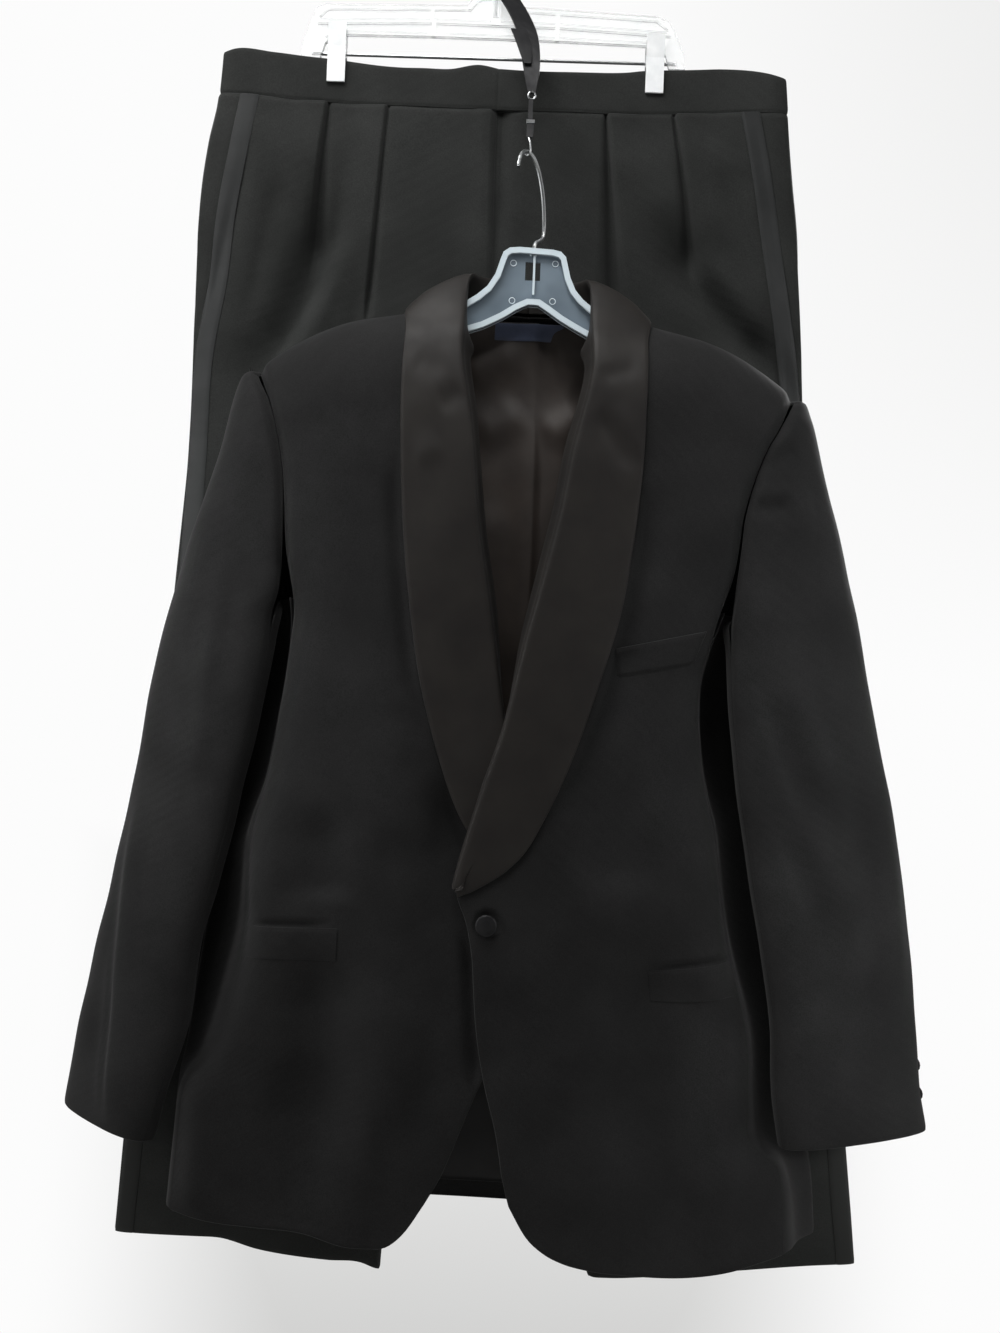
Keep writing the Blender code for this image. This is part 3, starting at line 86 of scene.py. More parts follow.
def makeCamera():
    data = bpy.data.cameras.new("camera")
    data.sensor_fit, data.sensor_height = "VERTICAL", 24.0
    data.lens = view["lens"]
    camera = bpy.data.objects.new("camera", data)
    bpy.context.scene.collection.objects.link(camera)
    camera.matrix_world = (Matrix.Translation(view["place"])
                           @ Matrix.Rotation(math.radians(90), 4, "X")
                           @ Matrix.Rotation(math.radians(view["roll"]), 4, "Z"))
    bpy.context.scene.camera = camera


def makeRoom():
    scene = bpy.context.scene
    scene.view_settings.view_transform = "Standard"
    world = bpy.data.worlds.new("studio")
    world.use_nodes = True
    scene.world = world
    tree = world.node_tree
    tree.nodes.clear()
    look = addNode(tree, "ShaderNodeTexCoord").outputs["Generated"]
    parts = addNode(tree, "ShaderNodeSeparateXYZ", None, {0: look}).outputs
    aside = addNode(tree, "ShaderNodeMath", {"operation": "ABSOLUTE"}, {0: parts["X"]})
    shares = {}
    for name, value, interpolation in (
            ("footUp", parts["Z"], "LINEAR"), ("footAside", aside.outputs[0], "SMOOTHSTEP"),
            ("cornerUp", parts["Z"], "LINEAR"), ("cornerAside", parts["X"], "LINEAR")):
        low, high = room[name]
        shares[name] = addNode(tree, "ShaderNodeMapRange", {"interpolation_type": interpolation},
                               {0: value, 1: low, 2: high}).outputs[0]
    clear = addNode(tree, "ShaderNodeMath", {"operation": "MAXIMUM"},
                    {0: shares["footUp"], 1: shares["footAside"]})
    wall = addNode(tree, "ShaderNodeMix", {"data_type": "RGBA"},
                   {0: clear.outputs[0], 6: linear(room["foot"]), 7: linear(room["wall"])})
    corner = addNode(tree, "ShaderNodeMath", {"operation": "MULTIPLY"},
                     {0: shares["cornerAside"], 1: shares["cornerUp"]})
    shade = addNode(tree, "ShaderNodeMix", {"data_type": "RGBA"},
                    {0: corner.outputs[0], 6: wall.outputs[2], 7: linear(room["corner"])})
    # the wall is as bright as it looks, and gives the cloth only a little fill
    rays = addNode(tree, "ShaderNodeLightPath").outputs
    nearEnd, farEnd = room["fillDepth"]
    fill = addNode(tree, "ShaderNodeMapRange", None,
                   {0: parts["Y"], 1: nearEnd, 2: farEnd, 3: room["fill"][0],
                    4: room["fill"][1]})
    seen = addNode(tree, "ShaderNodeMath", {"operation": "MAXIMUM"},
                   {0: rays["Is Camera Ray"], 1: rays["Is Transmission Ray"]})
    strength = addNode(tree, "ShaderNodeMapRange", None,
                       {0: seen.outputs[0], 3: fill.outputs[0], 4: 1.0})
    back = addNode(tree, "ShaderNodeBackground", None,
                   {0: shade.outputs[2], 1: strength.outputs[0]})
    addNode(tree, "ShaderNodeOutputWorld", None, {0: back.outputs[0]})

    # the floor ends behind the set, so that the wall fills the view from the front
    bpy.ops.mesh.primitive_plane_add(size=1.0, location=room["floorPlace"])
    floor = bpy.context.object
    floor.name = "floor"
    floor.scale = (*room["floorSize"], 1.0)
    floor.data.materials.append(newMaterial("painted_floor", {
        "Base Color": linear(room["floor"]), "Roughness": 0.6, "Specular IOR Level": 0.3})[0])


def makeLight(name, place, aim, size, power, spread):
    data = bpy.data.lights.new(name, "AREA")
    data.spread = math.radians(spread)
    data.shape = "RECTANGLE"
    data.size, data.size_y = size
    data.energy = power
    light = bpy.data.objects.new(name, data)
    bpy.context.scene.collection.objects.link(light)
    light.visible_camera = False
    light.location = place
    direction = Vector(place) - Vector(aim)
    light.rotation_euler = direction.to_track_quat("Z", "Y").to_euler()


lights = {
    # name: place, what it faces, width and height, watts, degrees it spreads over
    "window_front": ((-1.1, -1.5, 1.2), (0.0, 0.0, -0.4), (0.8, 0.8), 15, 180),
    "window_top": ((-0.3, -0.55, 0.6), (0.02, -0.05, -0.35), (1.1, 0.4), 23, 180),
    "window_left": ((-1.7, -0.9, -0.2), (0.0, -0.1, -0.8), (0.5, 1.1), 10, 180),
    "window_right": ((1.8, -0.8, 0.0), (0.05, -0.1, -0.6), (0.5, 0.8), 5, 180),
    "window_back": ((1.6, 1.7, 0.5), (0.0, 0.0, -0.65), (0.9, 0.9), 45, 180),
    "edge_left": ((-1.4, -0.3, -0.8), (-0.35, -0.08, -0.95), (0.4, 1.0), 4, 180),
    "edge_right": ((1.6, -0.3, -0.6), (0.4, -0.08, -0.8), (0.4, 1.2), 7, 180),
    "card_left": ((-1.2, -1.4, 0.0), (-0.25, -0.08, -0.68), (0.1, 0.4), 0.4, 18),
    "card_right": ((1.2, -1.4, -0.2), (0.34, -0.08, -0.82), (0.1, 0.7), 0.6, 18),
    "card_neck": ((0.28, -1.2, 0.3), (0.02, -0.05, -0.45), (0.15, 0.15), 0.035, 13),
}


def newMaterial(name, settings):
    material = bpy.data.materials.new(name)
    material.use_nodes = True
    shader = material.node_tree.nodes["Principled BSDF"]
    for socket, value in settings.items():
        shader.inputs[socket].default_value = value
    return material, material.node_tree, shader


def mottled(tree, finish, size, detail=3.0):
    # uneven colour between the finish's dark and light, in patches of a size in mm
    solid = addNode(tree, "ShaderNodeTexCoord").outputs["Object"]
    pattern = addNode(tree, "ShaderNodeTexNoise", None,
                      {"Vector": solid, "Scale": 1 / (size * mm), "Detail": detail,
                       "Roughness": 0.55}).outputs[0]
    stops = [(0.3, linear(finish["dark"])), (0.7, linear(finish["light"]))]
    colour = addNode(tree, "ShaderNodeValToRGB", None, {"Fac": pattern}, stops).outputs[0]
    return solid, pattern, colour


def makeTwill(name, cloth):
    # worsted wool twill: matt, with a faint diagonal rib and a short nap that catches the light
    material, tree, shader = newMaterial(name, {
        "Roughness": cloth["roughness"], "Specular IOR Level": cloth["gloss"],
        "Sheen Weight": cloth["fuzz"], "Sheen Roughness": 0.45})
    solid, _, dyed = mottled(tree, cloth, cloth["mottle"])
    flat = addNode(tree, "ShaderNodeAttribute", {"attribute_name": "cloth"}).outputs["Vector"]
    ribs = addNode(tree, "ShaderNodeMapping", None,
                   {"Vector": flat, "Rotation": (0, 0, math.radians(60))}).outputs[0]
    rib = addNode(tree, "ShaderNodeTexWave", {"bands_direction": "X"},
                  {"Vector": ribs, "Scale": 1 / (cloth["rib"] * mm * 20), "Distortion": 1.2,
                   "Detail": 2.0, "Detail Scale": 3.0}).outputs["Fac"]
    nap = addNode(tree, "ShaderNodeTexNoise", None,
                  {"Vector": solid, "Scale": 1 / (cloth["nap"] * mm), "Detail": 4.0,
                   "Roughness": 0.7}).outputs[0]
    height = addNode(tree, "ShaderNodeMath", {"operation": "MULTIPLY_ADD"},
                     {0: nap, 1: 0.7, 2: rib}).outputs[0]
    speck = addNode(tree, "ShaderNodeValToRGB", None, {"Fac": nap},
                    [(0.32, (0.35, 0.35, 0.35, 1.0)), (0.68, (1.7, 1.7, 1.7, 1.0))]).outputs[0]
    colour = addNode(tree, "ShaderNodeMix", {"data_type": "RGBA", "blend_type": "MULTIPLY"},
                     {0: cloth["speckle"], 6: dyed, 7: speck}).outputs[2]
    bump = addNode(tree, "ShaderNodeBump", None,
                   {"Strength": cloth["relief"], "Distance": 0.4 * mm, "Height": height})
    tree.links.new(colour, shader.inputs["Base Color"])
    tree.links.new(bump.outputs[0], shader.inputs["Normal"])
    return material


def makeSatin(name, cloth):
    # woven satin: long floats over the face give a soft glow that slides over every fold
    material, tree, shader = newMaterial(name, {
        "Specular IOR Level": cloth["gloss"], "Sheen Weight": cloth["fuzz"],
        "Sheen Roughness": 0.4})
    solid, mottle, colour = mottled(tree, cloth, cloth["mottle"])
    flat = addNode(tree, "ShaderNodeAttribute", {"attribute_name": "cloth"}).outputs["Vector"]
    thread = cloth["thread"] * mm
    stretched = addNode(tree, "ShaderNodeMapping", None,
                        {"Vector": flat, "Scale": (1 / thread, 1 / (9 * thread), 1)})
    floats = addNode(tree, "ShaderNodeTexNoise", None,
                     {"Vector": stretched.outputs[0], "Scale": 1.0, "Detail": 3.0,
                      "Roughness": 0.6}).outputs[0]
    ripple = addNode(tree, "ShaderNodeTexNoise", None,
                     {"Vector": solid, "Scale": 1 / (cloth["ripple"] * mm), "Detail": 2.0,
                      "Roughness": 0.5}).outputs[0]
    if "fade" in cloth:
        # painted shade: the cloth darkens between these two heights, standing in for the light
        # falling off lower down
        start, end, dark = cloth["fade"]
        height = addNode(tree, "ShaderNodeSeparateXYZ", None, {0: solid}).outputs["Z"]
        share = addNode(tree, "ShaderNodeMapRange", None, {0: height, 1: start, 2: end})
        colour = addNode(tree, "ShaderNodeMix", {"data_type": "RGBA"},
                         {0: share.outputs[0], 6: colour, 7: linear(dark)}).outputs[2]
    shine = addNode(tree, "ShaderNodeMapRange", None,
                    {0: mottle, 1: 0.3, 2: 0.7, 3: cloth["roughness"] + 0.06,
                     4: cloth["roughness"] - 0.06}).outputs[0]
    wave = addNode(tree, "ShaderNodeBump", None,
                   {"Strength": cloth["rippleDepth"], "Distance": 2.0 * mm, "Height": ripple})
    bump = addNode(tree, "ShaderNodeBump", None,
                   {"Strength": cloth["relief"], "Distance": 0.3 * mm, "Height": floats,
                    "Normal": wave.outputs[0]})
    tree.links.new(colour, shader.inputs["Base Color"])
    tree.links.new(shine, shader.inputs["Roughness"])
    tree.links.new(bump.outputs[0], shader.inputs["Normal"])
    return material


def makePlastic(name, plastic):
    # injection-moulded plastic: smooth skin, faint flow marks, and light through the thin web;
    # the thick rims that stand out from the web let less light through and get a painted highlight,
    # a paler colour for the light they gather
    material, tree, shader = newMaterial(name, {
        "Roughness": plastic["roughness"], "IOR": 1.5,
        "Transmission Weight": plastic["clearness"]})
    _, flow, colour = mottled(tree, plastic, plastic["flow"], 2.0)
    if "rim" in plastic:
        place = addNode(tree, "ShaderNodeNewGeometry").outputs["Position"]
        depth = addNode(tree, "ShaderNodeSeparateXYZ", None, {0: place}).outputs["Y"]
        off = addNode(tree, "ShaderNodeMath", {"operation": "SUBTRACT"},
                      {0: depth, 1: plastic["plane"] * mm})
        off = addNode(tree, "ShaderNodeMath", {"operation": "ABSOLUTE"}, {0: off.outputs[0]})
        rim = addNode(tree, "ShaderNodeMath", {"operation": "GREATER_THAN"},
                      {0: off.outputs[0], 1: plastic["web"] * mm}).outputs[0]
        # painted highlight: the rims take the paler rim colour
        colour = addNode(tree, "ShaderNodeMix", {"data_type": "RGBA"},
                         {0: rim, 6: colour, 7: linear(plastic["rim"])}).outputs[2]
        clear = addNode(tree, "ShaderNodeMapRange", None,
                        {0: rim, 3: plastic["clearness"], 4: 0.1}).outputs[0]
        tree.links.new(clear, shader.inputs["Transmission Weight"])
    bump = addNode(tree, "ShaderNodeBump", None,
                   {"Strength": 0.15, "Distance": 0.5 * mm, "Height": flow})
    tree.links.new(colour, shader.inputs["Base Color"])
    tree.links.new(bump.outputs[0], shader.inputs["Normal"])
    return material


def makeZinc(name, metal):
    # drawn steel wire with bright zinc plating: fine scratches and soft grey reflections
    material, tree, shader = newMaterial(name, {
        "Metallic": 1.0, "Roughness": metal["roughness"]})
    _, scratches, colour = mottled(tree, metal, metal["scratch"])
    bump = addNode(tree, "ShaderNodeBump", None,
                   {"Strength": 0.1, "Distance": 0.2 * mm, "Height": scratches})
    tree.links.new(colour, shader.inputs["Base Color"])
    tree.links.new(bump.outputs[0], shader.inputs["Normal"])
    return material


finishes = {
    # rib, nap and mottle are spacings in mm; the rib of such cloth is 0.5 mm, drawn at 1.6
    "jacketWool": makeTwill("black_worsted_twill", {
        "rib": 1.6, "nap": 1.1, "mottle": 60, "dark": "#151515", "light": "#1c1c1c",
        "speckle": 0.6, "relief": 0.2, "roughness": 0.8, "gloss": 0.06, "fuzz": 0.05}),
    # partly painted light: a lighter copy of the jacket's black wool, standing in for the stronger
    # light near the top, with the trousers' own slightly greener tone
    "trouserWool": makeTwill("black_trouser_twill", {
        "rib": 1.6, "nap": 1.1, "mottle": 70, "dark": "#1b1c1b", "light": "#232423",
        "speckle": 0.55, "relief": 0.2, "roughness": 0.8, "gloss": 0.08, "fuzz": 0.06}),
    # satin floats are 0.2 mm threads, drawn at 0.9 mm
    "lapelSatin": makeSatin("black_satin_facing", {
        "thread": 0.9, "mottle": 45, "ripple": 38, "rippleDepth": 0.25, "dark": "#161413",
        "light": "#1f1d1b", "relief": 0.3, "roughness": 0.58, "gloss": 0.14, "fuzz": 0.02}),
    "trimSatin": makeSatin("black_satin_trim", {
        "thread": 0.9, "mottle": 12, "ripple": 16, "rippleDepth": 0.3, "dark": "#0e0e0f",
        "light": "#1a1a1b", "relief": 0.25, "roughness": 0.5, "gloss": 0.12, "fuzz": 0.02}),
    "stripeSatin": makeSatin("black_satin_stripe", {
        "thread": 0.9, "mottle": 40, "ripple": 30, "rippleDepth": 0.1, "dark": "#222323",
        "light": "#292a2a", "relief": 0.25, "roughness": 0.55, "gloss": 0.12, "fuzz": 0.05,
        # painted shade: the stripe darkens down the leg, standing in for the weaker light lower down
        "fade": (-0.6, -1.15, "#1c1d1c")}),
    "lining": makeSatin("brown_black_lining_satin", {
        "thread": 0.7, "mottle": 50, "ripple": 30, "rippleDepth": 0.3, "dark": "#231e1b",
        "light": "#36302c", "relief": 0.2, "roughness": 0.5, "gloss": 0.26, "fuzz": 0.0,
        # painted shade: from here down the lining goes almost black, standing in for the shade
        # inside the jacket's lower opening
        "fade": (-0.8, -1.0, "#020202")}),
    "label": makeSatin("navy_damask_label", {
        "thread": 0.8, "mottle": 20, "ripple": 20, "rippleDepth": 0.1, "dark": "#353c50",
        "light": "#454c60", "relief": 0.4, "roughness": 0.5, "gloss": 0.3, "fuzz": 0.1}),
    "smoke": makePlastic("smoked_polystyrene", {
        "flow": 40, "dark": "#5f6b75", "light": "#76838e", "roughness": 0.25,
        # the rim colour is a painted highlight
        "clearness": 0.3, "rim": "#b6c1c7", "plane": -72.0, "web": 2.0}),
    "clear": makePlastic("clear_polystyrene", {
        "flow": 30, "dark": "#f8fafa", "light": "#ffffff", "roughness": 0.12,
        "clearness": 0.8}),
    "milky": makePlastic("milky_polypropylene", {
        "flow": 12, "dark": "#ced0d1", "light": "#dedfdf", "roughness": 0.35,
        "clearness": 0.15}),
    "zinc": makeZinc("zinc_plated_wire", {
        "scratch": 10 / 9, "dark": "#8d8f90", "light": "#a9abab", "roughness": 0.32}),
}

makeCamera()
makeRoom()
for lightName, lightSettings in lights.items():
    makeLight(lightName, *lightSettings)
print("camera, room and materials made")

# sizes shared by the garments, in mm
seamGap = 0.3          # between pieces that are sewn edge to edge
jacketWall = 2.0       # wool, canvas and lining pressed together
liningWall = 1.0
jacketX = 40.5         # the jacket hangs this far to the right of the clip hanger's hook
hangerY = -72.0        # plane of the jacket hanger and of the shoulder line
ridgeTop = -385.0      # height at which the shoulder line meets the neck
shoulderRoll = 80.0    # drop over which the shoulder rolls from its ridge into the chest
levelMid = -650.0      # rows are level from here down to levelLow
levelLow = -1000.0
levelHem = -1210.0     # nominal hem, which the hem tables bend to the real one
shoulderTilt = -0.016  # the right shoulder hangs a little lower
# each front moves a step in depth where they lap: full inside the nearer x and below the lower
# height, and eased below the button
lap = {"step": 6.5, "across": (135, 25), "down": (-520, -770), "below": (-930, -1030),
       "ease": 0.55}
neckHalf = 88.0        # half width of the back neckline
neckBehind = 30.0      # the back neckline curves this far behind the shoulder line
trouserHalf = 11.0     # half depth of the flattened trousers
waistZ = -180.2        # the waist seam at the centre, from which it rises to both sides
waistRise = 1.25e-4
clipX = 150.0          # clips stand this far either side of the hook
borderPlaces = (0.9, 2.0, 3.4, 5.2, 7.5)     # rows and columns of points close to each border
rimBulge = 0.42        # of a sheet's thickness
# a turned edge is flattened near the border and dropped at its lip
turnedEdge = {"flat": 0.5, "over": 6.0, "drop": 0.5, "lip": 1.6}
armZone = (-690, -640)     # heights between which a seam changes at the underarm
foldFade = 0.32        # share of a fold's length over which each of its ends fades
foldSteps = 6          # straight steps between two points of a fold's route


def readRows(text):
    # the numbers under a line of names
    return [[float(cell) for cell in line.split()] for line in text.strip().splitlines()[1:]]


def readTable(text):
    # named columns of numbers, sorted by the first column
    rows = sorted(readRows(text))
    names = text.strip().splitlines()[0].split()
    return {name: np.array([row[i] for row in rows]) for i, name in enumerate(names)}


def smooth(xs, ys, x):
    # a curve through the values that never overshoots them
    if x <= xs[0]:
        return float(ys[0])
    if x >= xs[-1]:
        return float(ys[-1])
    i = int(np.searchsorted(xs, x)) - 1
    steps = np.diff(xs)
    slopes = np.diff(ys) / steps

    def tangent(k):
        if k == 0 or k == len(xs) - 1:
            return slopes[0] if k == 0 else slopes[-1]
        before, after = slopes[k - 1], slopes[k]
        return 0.0 if before * after <= 0 else 2 * before * after / (before + after)

    h = steps[i]
    t = (x - xs[i]) / h
    return float(
        (1 + 2 * t) * (1 - t) ** 2 * ys[i] + t * (1 - t) ** 2 * h * tangent(i)
        + t * t * (3 - 2 * t) * ys[i + 1] + t * t * (t - 1) * h * tangent(i + 1)
    )


def read(table, column, level):
    # a column's value at a level, which the table's first column gives
    first = next(iter(table.values()))
    return smooth(first, table[column], level)


def blend(start, end, value):
    t = min(1.0, max(0.0, (value - start) / (end - start)))
    return t * t * (3 - 2 * t)


def spline(points, t):
    # a smooth curve through the points, one for each whole t
    last = len(points) - 1
    i = min(int(max(t, 0.0)), last - 1)
    f = t - i
    a, b = points[i], points[i + 1]
    before = points[i - 1] if i else 2 * a - b
    after = points[i + 2] if i + 2 <= last else 2 * b - a
    return 0.5 * (2 * a + (b - before) * f + (2 * before - 5 * a + 4 * b - after) * f * f
                  + (3 * a - before - 3 * b + after) * f ** 3)


def solve(function, target, low, high, steps=40):
    # where a steadily rising or falling function meets the target
    rising = function(high) > function(low)
    for _ in range(steps):
        middle = 0.5 * (low + high)
        if (function(middle) < target) == rising:
            low = middle
        else:
            high = middle
    return 0.5 * (low + high)


def even(count):
    return [i / (count - 1) for i in range(count)]


def spaced(first, last, shares):
    return [first + (last - first) * share for share in shares]


def squared(angle, square):
    # across and through a flattened section whose ends are squarish
    c, s = math.cos(angle), math.sin(angle)
    return (-math.copysign(abs(c) ** (2 / square), c), math.copysign(abs(s) ** (2 / square), s))


def normalOf(surface, u, v, facing):
    step = 1e-3
    along = surface(u + step, v) - surface(u - step, v)
    down = surface(u, v + step) - surface(u, v - step)
    normal = np.cross(along, down) * facing
    return normal / np.linalg.norm(normal)


def gridOf(surface, columns, rows, facing, ease=None):
    # points and outward normals of a panel, row by row, from its surface
    points, normals = [], []
    for v in rows:
        for u in columns(v):
            point = surface(u, v)
            points.append(point + ease(point) if ease else point)
            normals.append(normalOf(surface, u, v, facing))
    shape = (len(rows), -1, 3)
    return np.array(points).reshape(shape), np.array(normals).reshape(shape)


def between(values):
    # the values with one more halfway between each two
    result = []
    for first, second in zip(values, values[1:]):
        result += [first, 0.5 * (first + second)]
    return result + [values[-1]]


def alongCurve(places, values, fresh):
    # a smooth curve through values at uneven places, read at the fresh ones
    gaps = np.diff(places)
    shape = (-1,) + (1,) * (values.ndim - 1)
    slopes = np.diff(values, axis=0) / gaps.reshape(shape)
    before, after = gaps[:-1].reshape(shape), gaps[1:].reshape(shape)
    inner = (slopes[:-1] * after + slopes[1:] * before) / (before + after)
    tangents = np.concatenate([slopes[:1], inner, slopes[-1:]])
    i = np.clip(np.searchsorted(places, fresh) - 1, 0, len(gaps) - 1)
    h = gaps[i]
    t = (fresh - places[i]) / h
    h, t = h.reshape(shape), t.reshape(shape)
    return ((1 + 2 * t) * (1 - t) ** 2 * values[i] + t * (1 - t) ** 2 * h * tangents[i]
            + t * t * (3 - 2 * t) * values[i + 1] + t * t * (t - 1) * h * tangents[i + 1])


def meanPlaces(points, axis):
    steps = np.linalg.norm(np.diff(points, axis=axis), axis=2)
    steps = steps.mean(axis=1 - axis)
    return np.concatenate([[0.0], np.cumsum(np.maximum(steps, 1e-3))])


def freshPlaces(places, step):
    # even places, with closer ones at both borders and at the rows and columns given close
    fresh = list(np.linspace(0, places[-1], max(3, int(places[-1] / step) + 1)))
    for distance in borderPlaces:
        if distance * 3 < places[-1]:
            fresh += [distance, places[-1] - distance]
    close = np.diff(places) < 0.8 * step
    fresh += list(places[:-1][close]) + list(places[1:][close])
    fresh += list((places[:-1][close] + places[1:][close]) / 2)
    fresh = np.unique(np.round(fresh, 3))
    return fresh[np.concatenate([[True], np.diff(fresh) > 0.25])]


def refine(points, normals, across, down):
    # the same surface on a close grid, with steps in mm across and down
    for axis, step in ((0, down), (1, across)):
        places = meanPlaces(points, axis)
        fresh = freshPlaces(places, step)
        if axis == 0:
            points, normals = alongCurve(places, points, fresh), alongCurve(places, normals, fresh)
        else:
            points, normals = (alongCurve(places, grid.swapaxes(0, 1), fresh).swapaxes(0, 1)
                               for grid in (points, normals))
    return points, normals / np.linalg.norm(normals, axis=2, keepdims=True)


def soften(low, high, value):
    # 0 below low, 1 above high, and smooth between, for whole grids
    t = np.clip((value - low) / (high - low), 0, 1)
    return t * t * (3 - 2 * t)


def runOf(points, axis):
    # how far along the cloth each point is, mm
    steps = np.linalg.norm(np.diff(points, axis=axis), axis=2)
    pad = np.zeros_like(steps[:1]) if axis == 0 else np.zeros_like(steps[:, :1])
    return np.cumsum(np.concatenate([pad, steps], axis=axis), axis=axis)


def readFolds(text):
    # each line: height, width to the viewer's left / right of a falling fold, then its x z route
    folds = []
    for line in text.strip().splitlines()[1:]:
        cells = line.split()
        route = np.array([float(cell) for cell in cells[2:]]).reshape(-1, 2)
        widths = [float(width) for width in cells[1].split("/")]
        folds.append((float(cells[0]), widths[0], widths[-1], route))
    return folds


def foldHeight(points, folds):
    # soft troughs and ridges, each fading out at its two ends
    x, z = points[..., 0], points[..., 2]
    total = np.zeros_like(x)
    for height, left, right, route in folds:
        count = foldSteps * (len(route) - 1) + 1
        path = np.array([spline(list(route), i / foldSteps) for i in range(count)])
        nearest = np.full_like(x, 1e9)
        share, side = np.zeros_like(x), np.ones_like(x)
        for i, (a, b) in enumerate(zip(path, path[1:])):
            d = b - a
            t = np.clip(((x - a[0]) * d[0] + (z - a[1]) * d[1]) / (d @ d), 0, 1)
            offX, offZ = x - a[0] - t * d[0], z - a[1] - t * d[1]
            distance = np.hypot(offX, offZ)
            close = distance < nearest
            nearest = np.where(close, distance, nearest)
            share = np.where(close, (i + t) / (count - 1), share)
            side = np.where(close, d[0] * offZ - d[1] * offX, side)
        ends = np.clip(np.minimum(share, 1 - share) / foldFade, 0, 1)
        width = np.where(side < 0, left, right)
        total += height * ends * ends * (3 - 2 * ends) * np.exp(-(nearest / width) ** 2)
    return total


def reliefOf(text):
    folds = readFolds(text)
    return lambda points: foldHeight(points, folds)


def unevenness(points, size, seed):
    # slow swells of about one unit, the same on every run
    rng = np.random.default_rng(seed)
    total = np.zeros(points.shape[:2])
    for _ in range(7):
        wave = rng.normal(size=3) * np.array((1.0, 0.6, 0.7)) / size
        total += np.sin(points @ wave * 2.4 + rng.uniform(0, 6.28))
    return total / 3.0


def slopeNormals(points, toward):
    # normals of a grid of points, turned to the side that the given ones face
    normals = np.cross(np.gradient(points, axis=1), np.gradient(points, axis=0))
    normals *= np.sign((normals * toward).sum(axis=2, keepdims=True))
    return normals / np.maximum(np.linalg.norm(normals, axis=2, keepdims=True), 1e-9)


def makeShell(name, points, normals, shading, cloth, shift=0.0):
    # a closed thin sheet; its shading runs on over the seams into the next panel
    thickness, finish = cloth["thickness"], cloth["finish"]
    rows, columns = points.shape[:2]
    inner = points - normals * thickness
    grid = np.arange(rows * columns).reshape(rows, columns)
    ring = np.concatenate([grid[0, :-1], grid[:-1, -1], grid[-1, :0:-1], grid[:0:-1, 0]])
    outerRow, innerRow = points.reshape(-1, 3), inner.reshape(-1, 3)
    ringIn = np.concatenate([grid[1, :-1], grid[:-1, -2], grid[-2, :0:-1], grid[:0:-1, 1]])
    out = outerRow[ring] - outerRow[ringIn]
    out /= np.maximum(np.linalg.norm(out, axis=1, keepdims=True), 1e-6)
    # the rim bulges, as the edge of folded cloth does
    middle = (outerRow[ring] + innerRow[ring]) / 2 + out * thickness * rimBulge
    vertices = np.concatenate([outerRow, innerRow, middle])
    vertices[:, 0] += shift
    count, edge = rows * columns, 2 * rows * columns
    a, b = grid[:-1, :-1].ravel(), grid[:-1, 1:].ravel()
    c, d = grid[1:, 1:].ravel(), grid[1:, :-1].ravel()
    front = np.stack([a, b, c, d], axis=1)
    back = np.stack([a, d, c, b], axis=1) + count
    nextRing, k = np.roll(ring, -1), np.arange(len(ring))
    nextK = np.roll(k, -1)
    rimA = np.stack([nextRing, ring, edge + k, edge + nextK], axis=1)
    rimB = np.stack([edge + nextK, edge + k, count + ring, count + nextRing], axis=1)
    faces = np.concatenate([front, back, rimA, rimB])
    # turn everything over if the front faces inwards
    diagonal = np.cross(points[1:, 1:] - points[:-1, :-1], points[:-1, 1:] - points[1:, :-1])
    if (diagonal * normals[:-1, :-1]).sum() > 0:
        faces = faces[:, ::-1]
    mesh = bpy.data.meshes.new(name)
    mesh.vertices.add(len(vertices))
    mesh.vertices.foreach_set("co", (vertices * mm).ravel())
    mesh.loops.add(faces.size)
    mesh.loops.foreach_set("vertex_index", faces.astype(np.int32).ravel())
    mesh.polygons.add(len(faces))
    mesh.polygons.foreach_set("loop_start", np.arange(0, faces.size, 4, dtype=np.int32))
    mesh.update(calc_edges=True)
    mesh.shade_smooth()
    shade = np.concatenate([shading.reshape(-1, 3), -shading.reshape(-1, 3),
                            np.zeros((len(ring), 3))])[faces.ravel()]
    shade[8 * len(front):] = 0
    mesh.normals_split_custom_set(shade)
    # where each point lies on the flat cloth, in metres across and down its panel
    flat = np.stack([runOf(points, 1), runOf(points, 0), np.zeros((rows, columns))], axis=2)
    flat = flat.reshape(-1, 3) * mm
    flat = np.concatenate([flat, flat, flat[ring]])
    weave = mesh.attributes.new("cloth", "FLOAT_VECTOR", "POINT")
    weave.data.foreach_set("vector", flat.ravel())
    mesh.materials.append(finishes[finish])
    piece = bpy.data.objects.new(name, mesh)
    bpy.context.scene.collection.objects.link(piece)
    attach(piece, "root")
    return piece


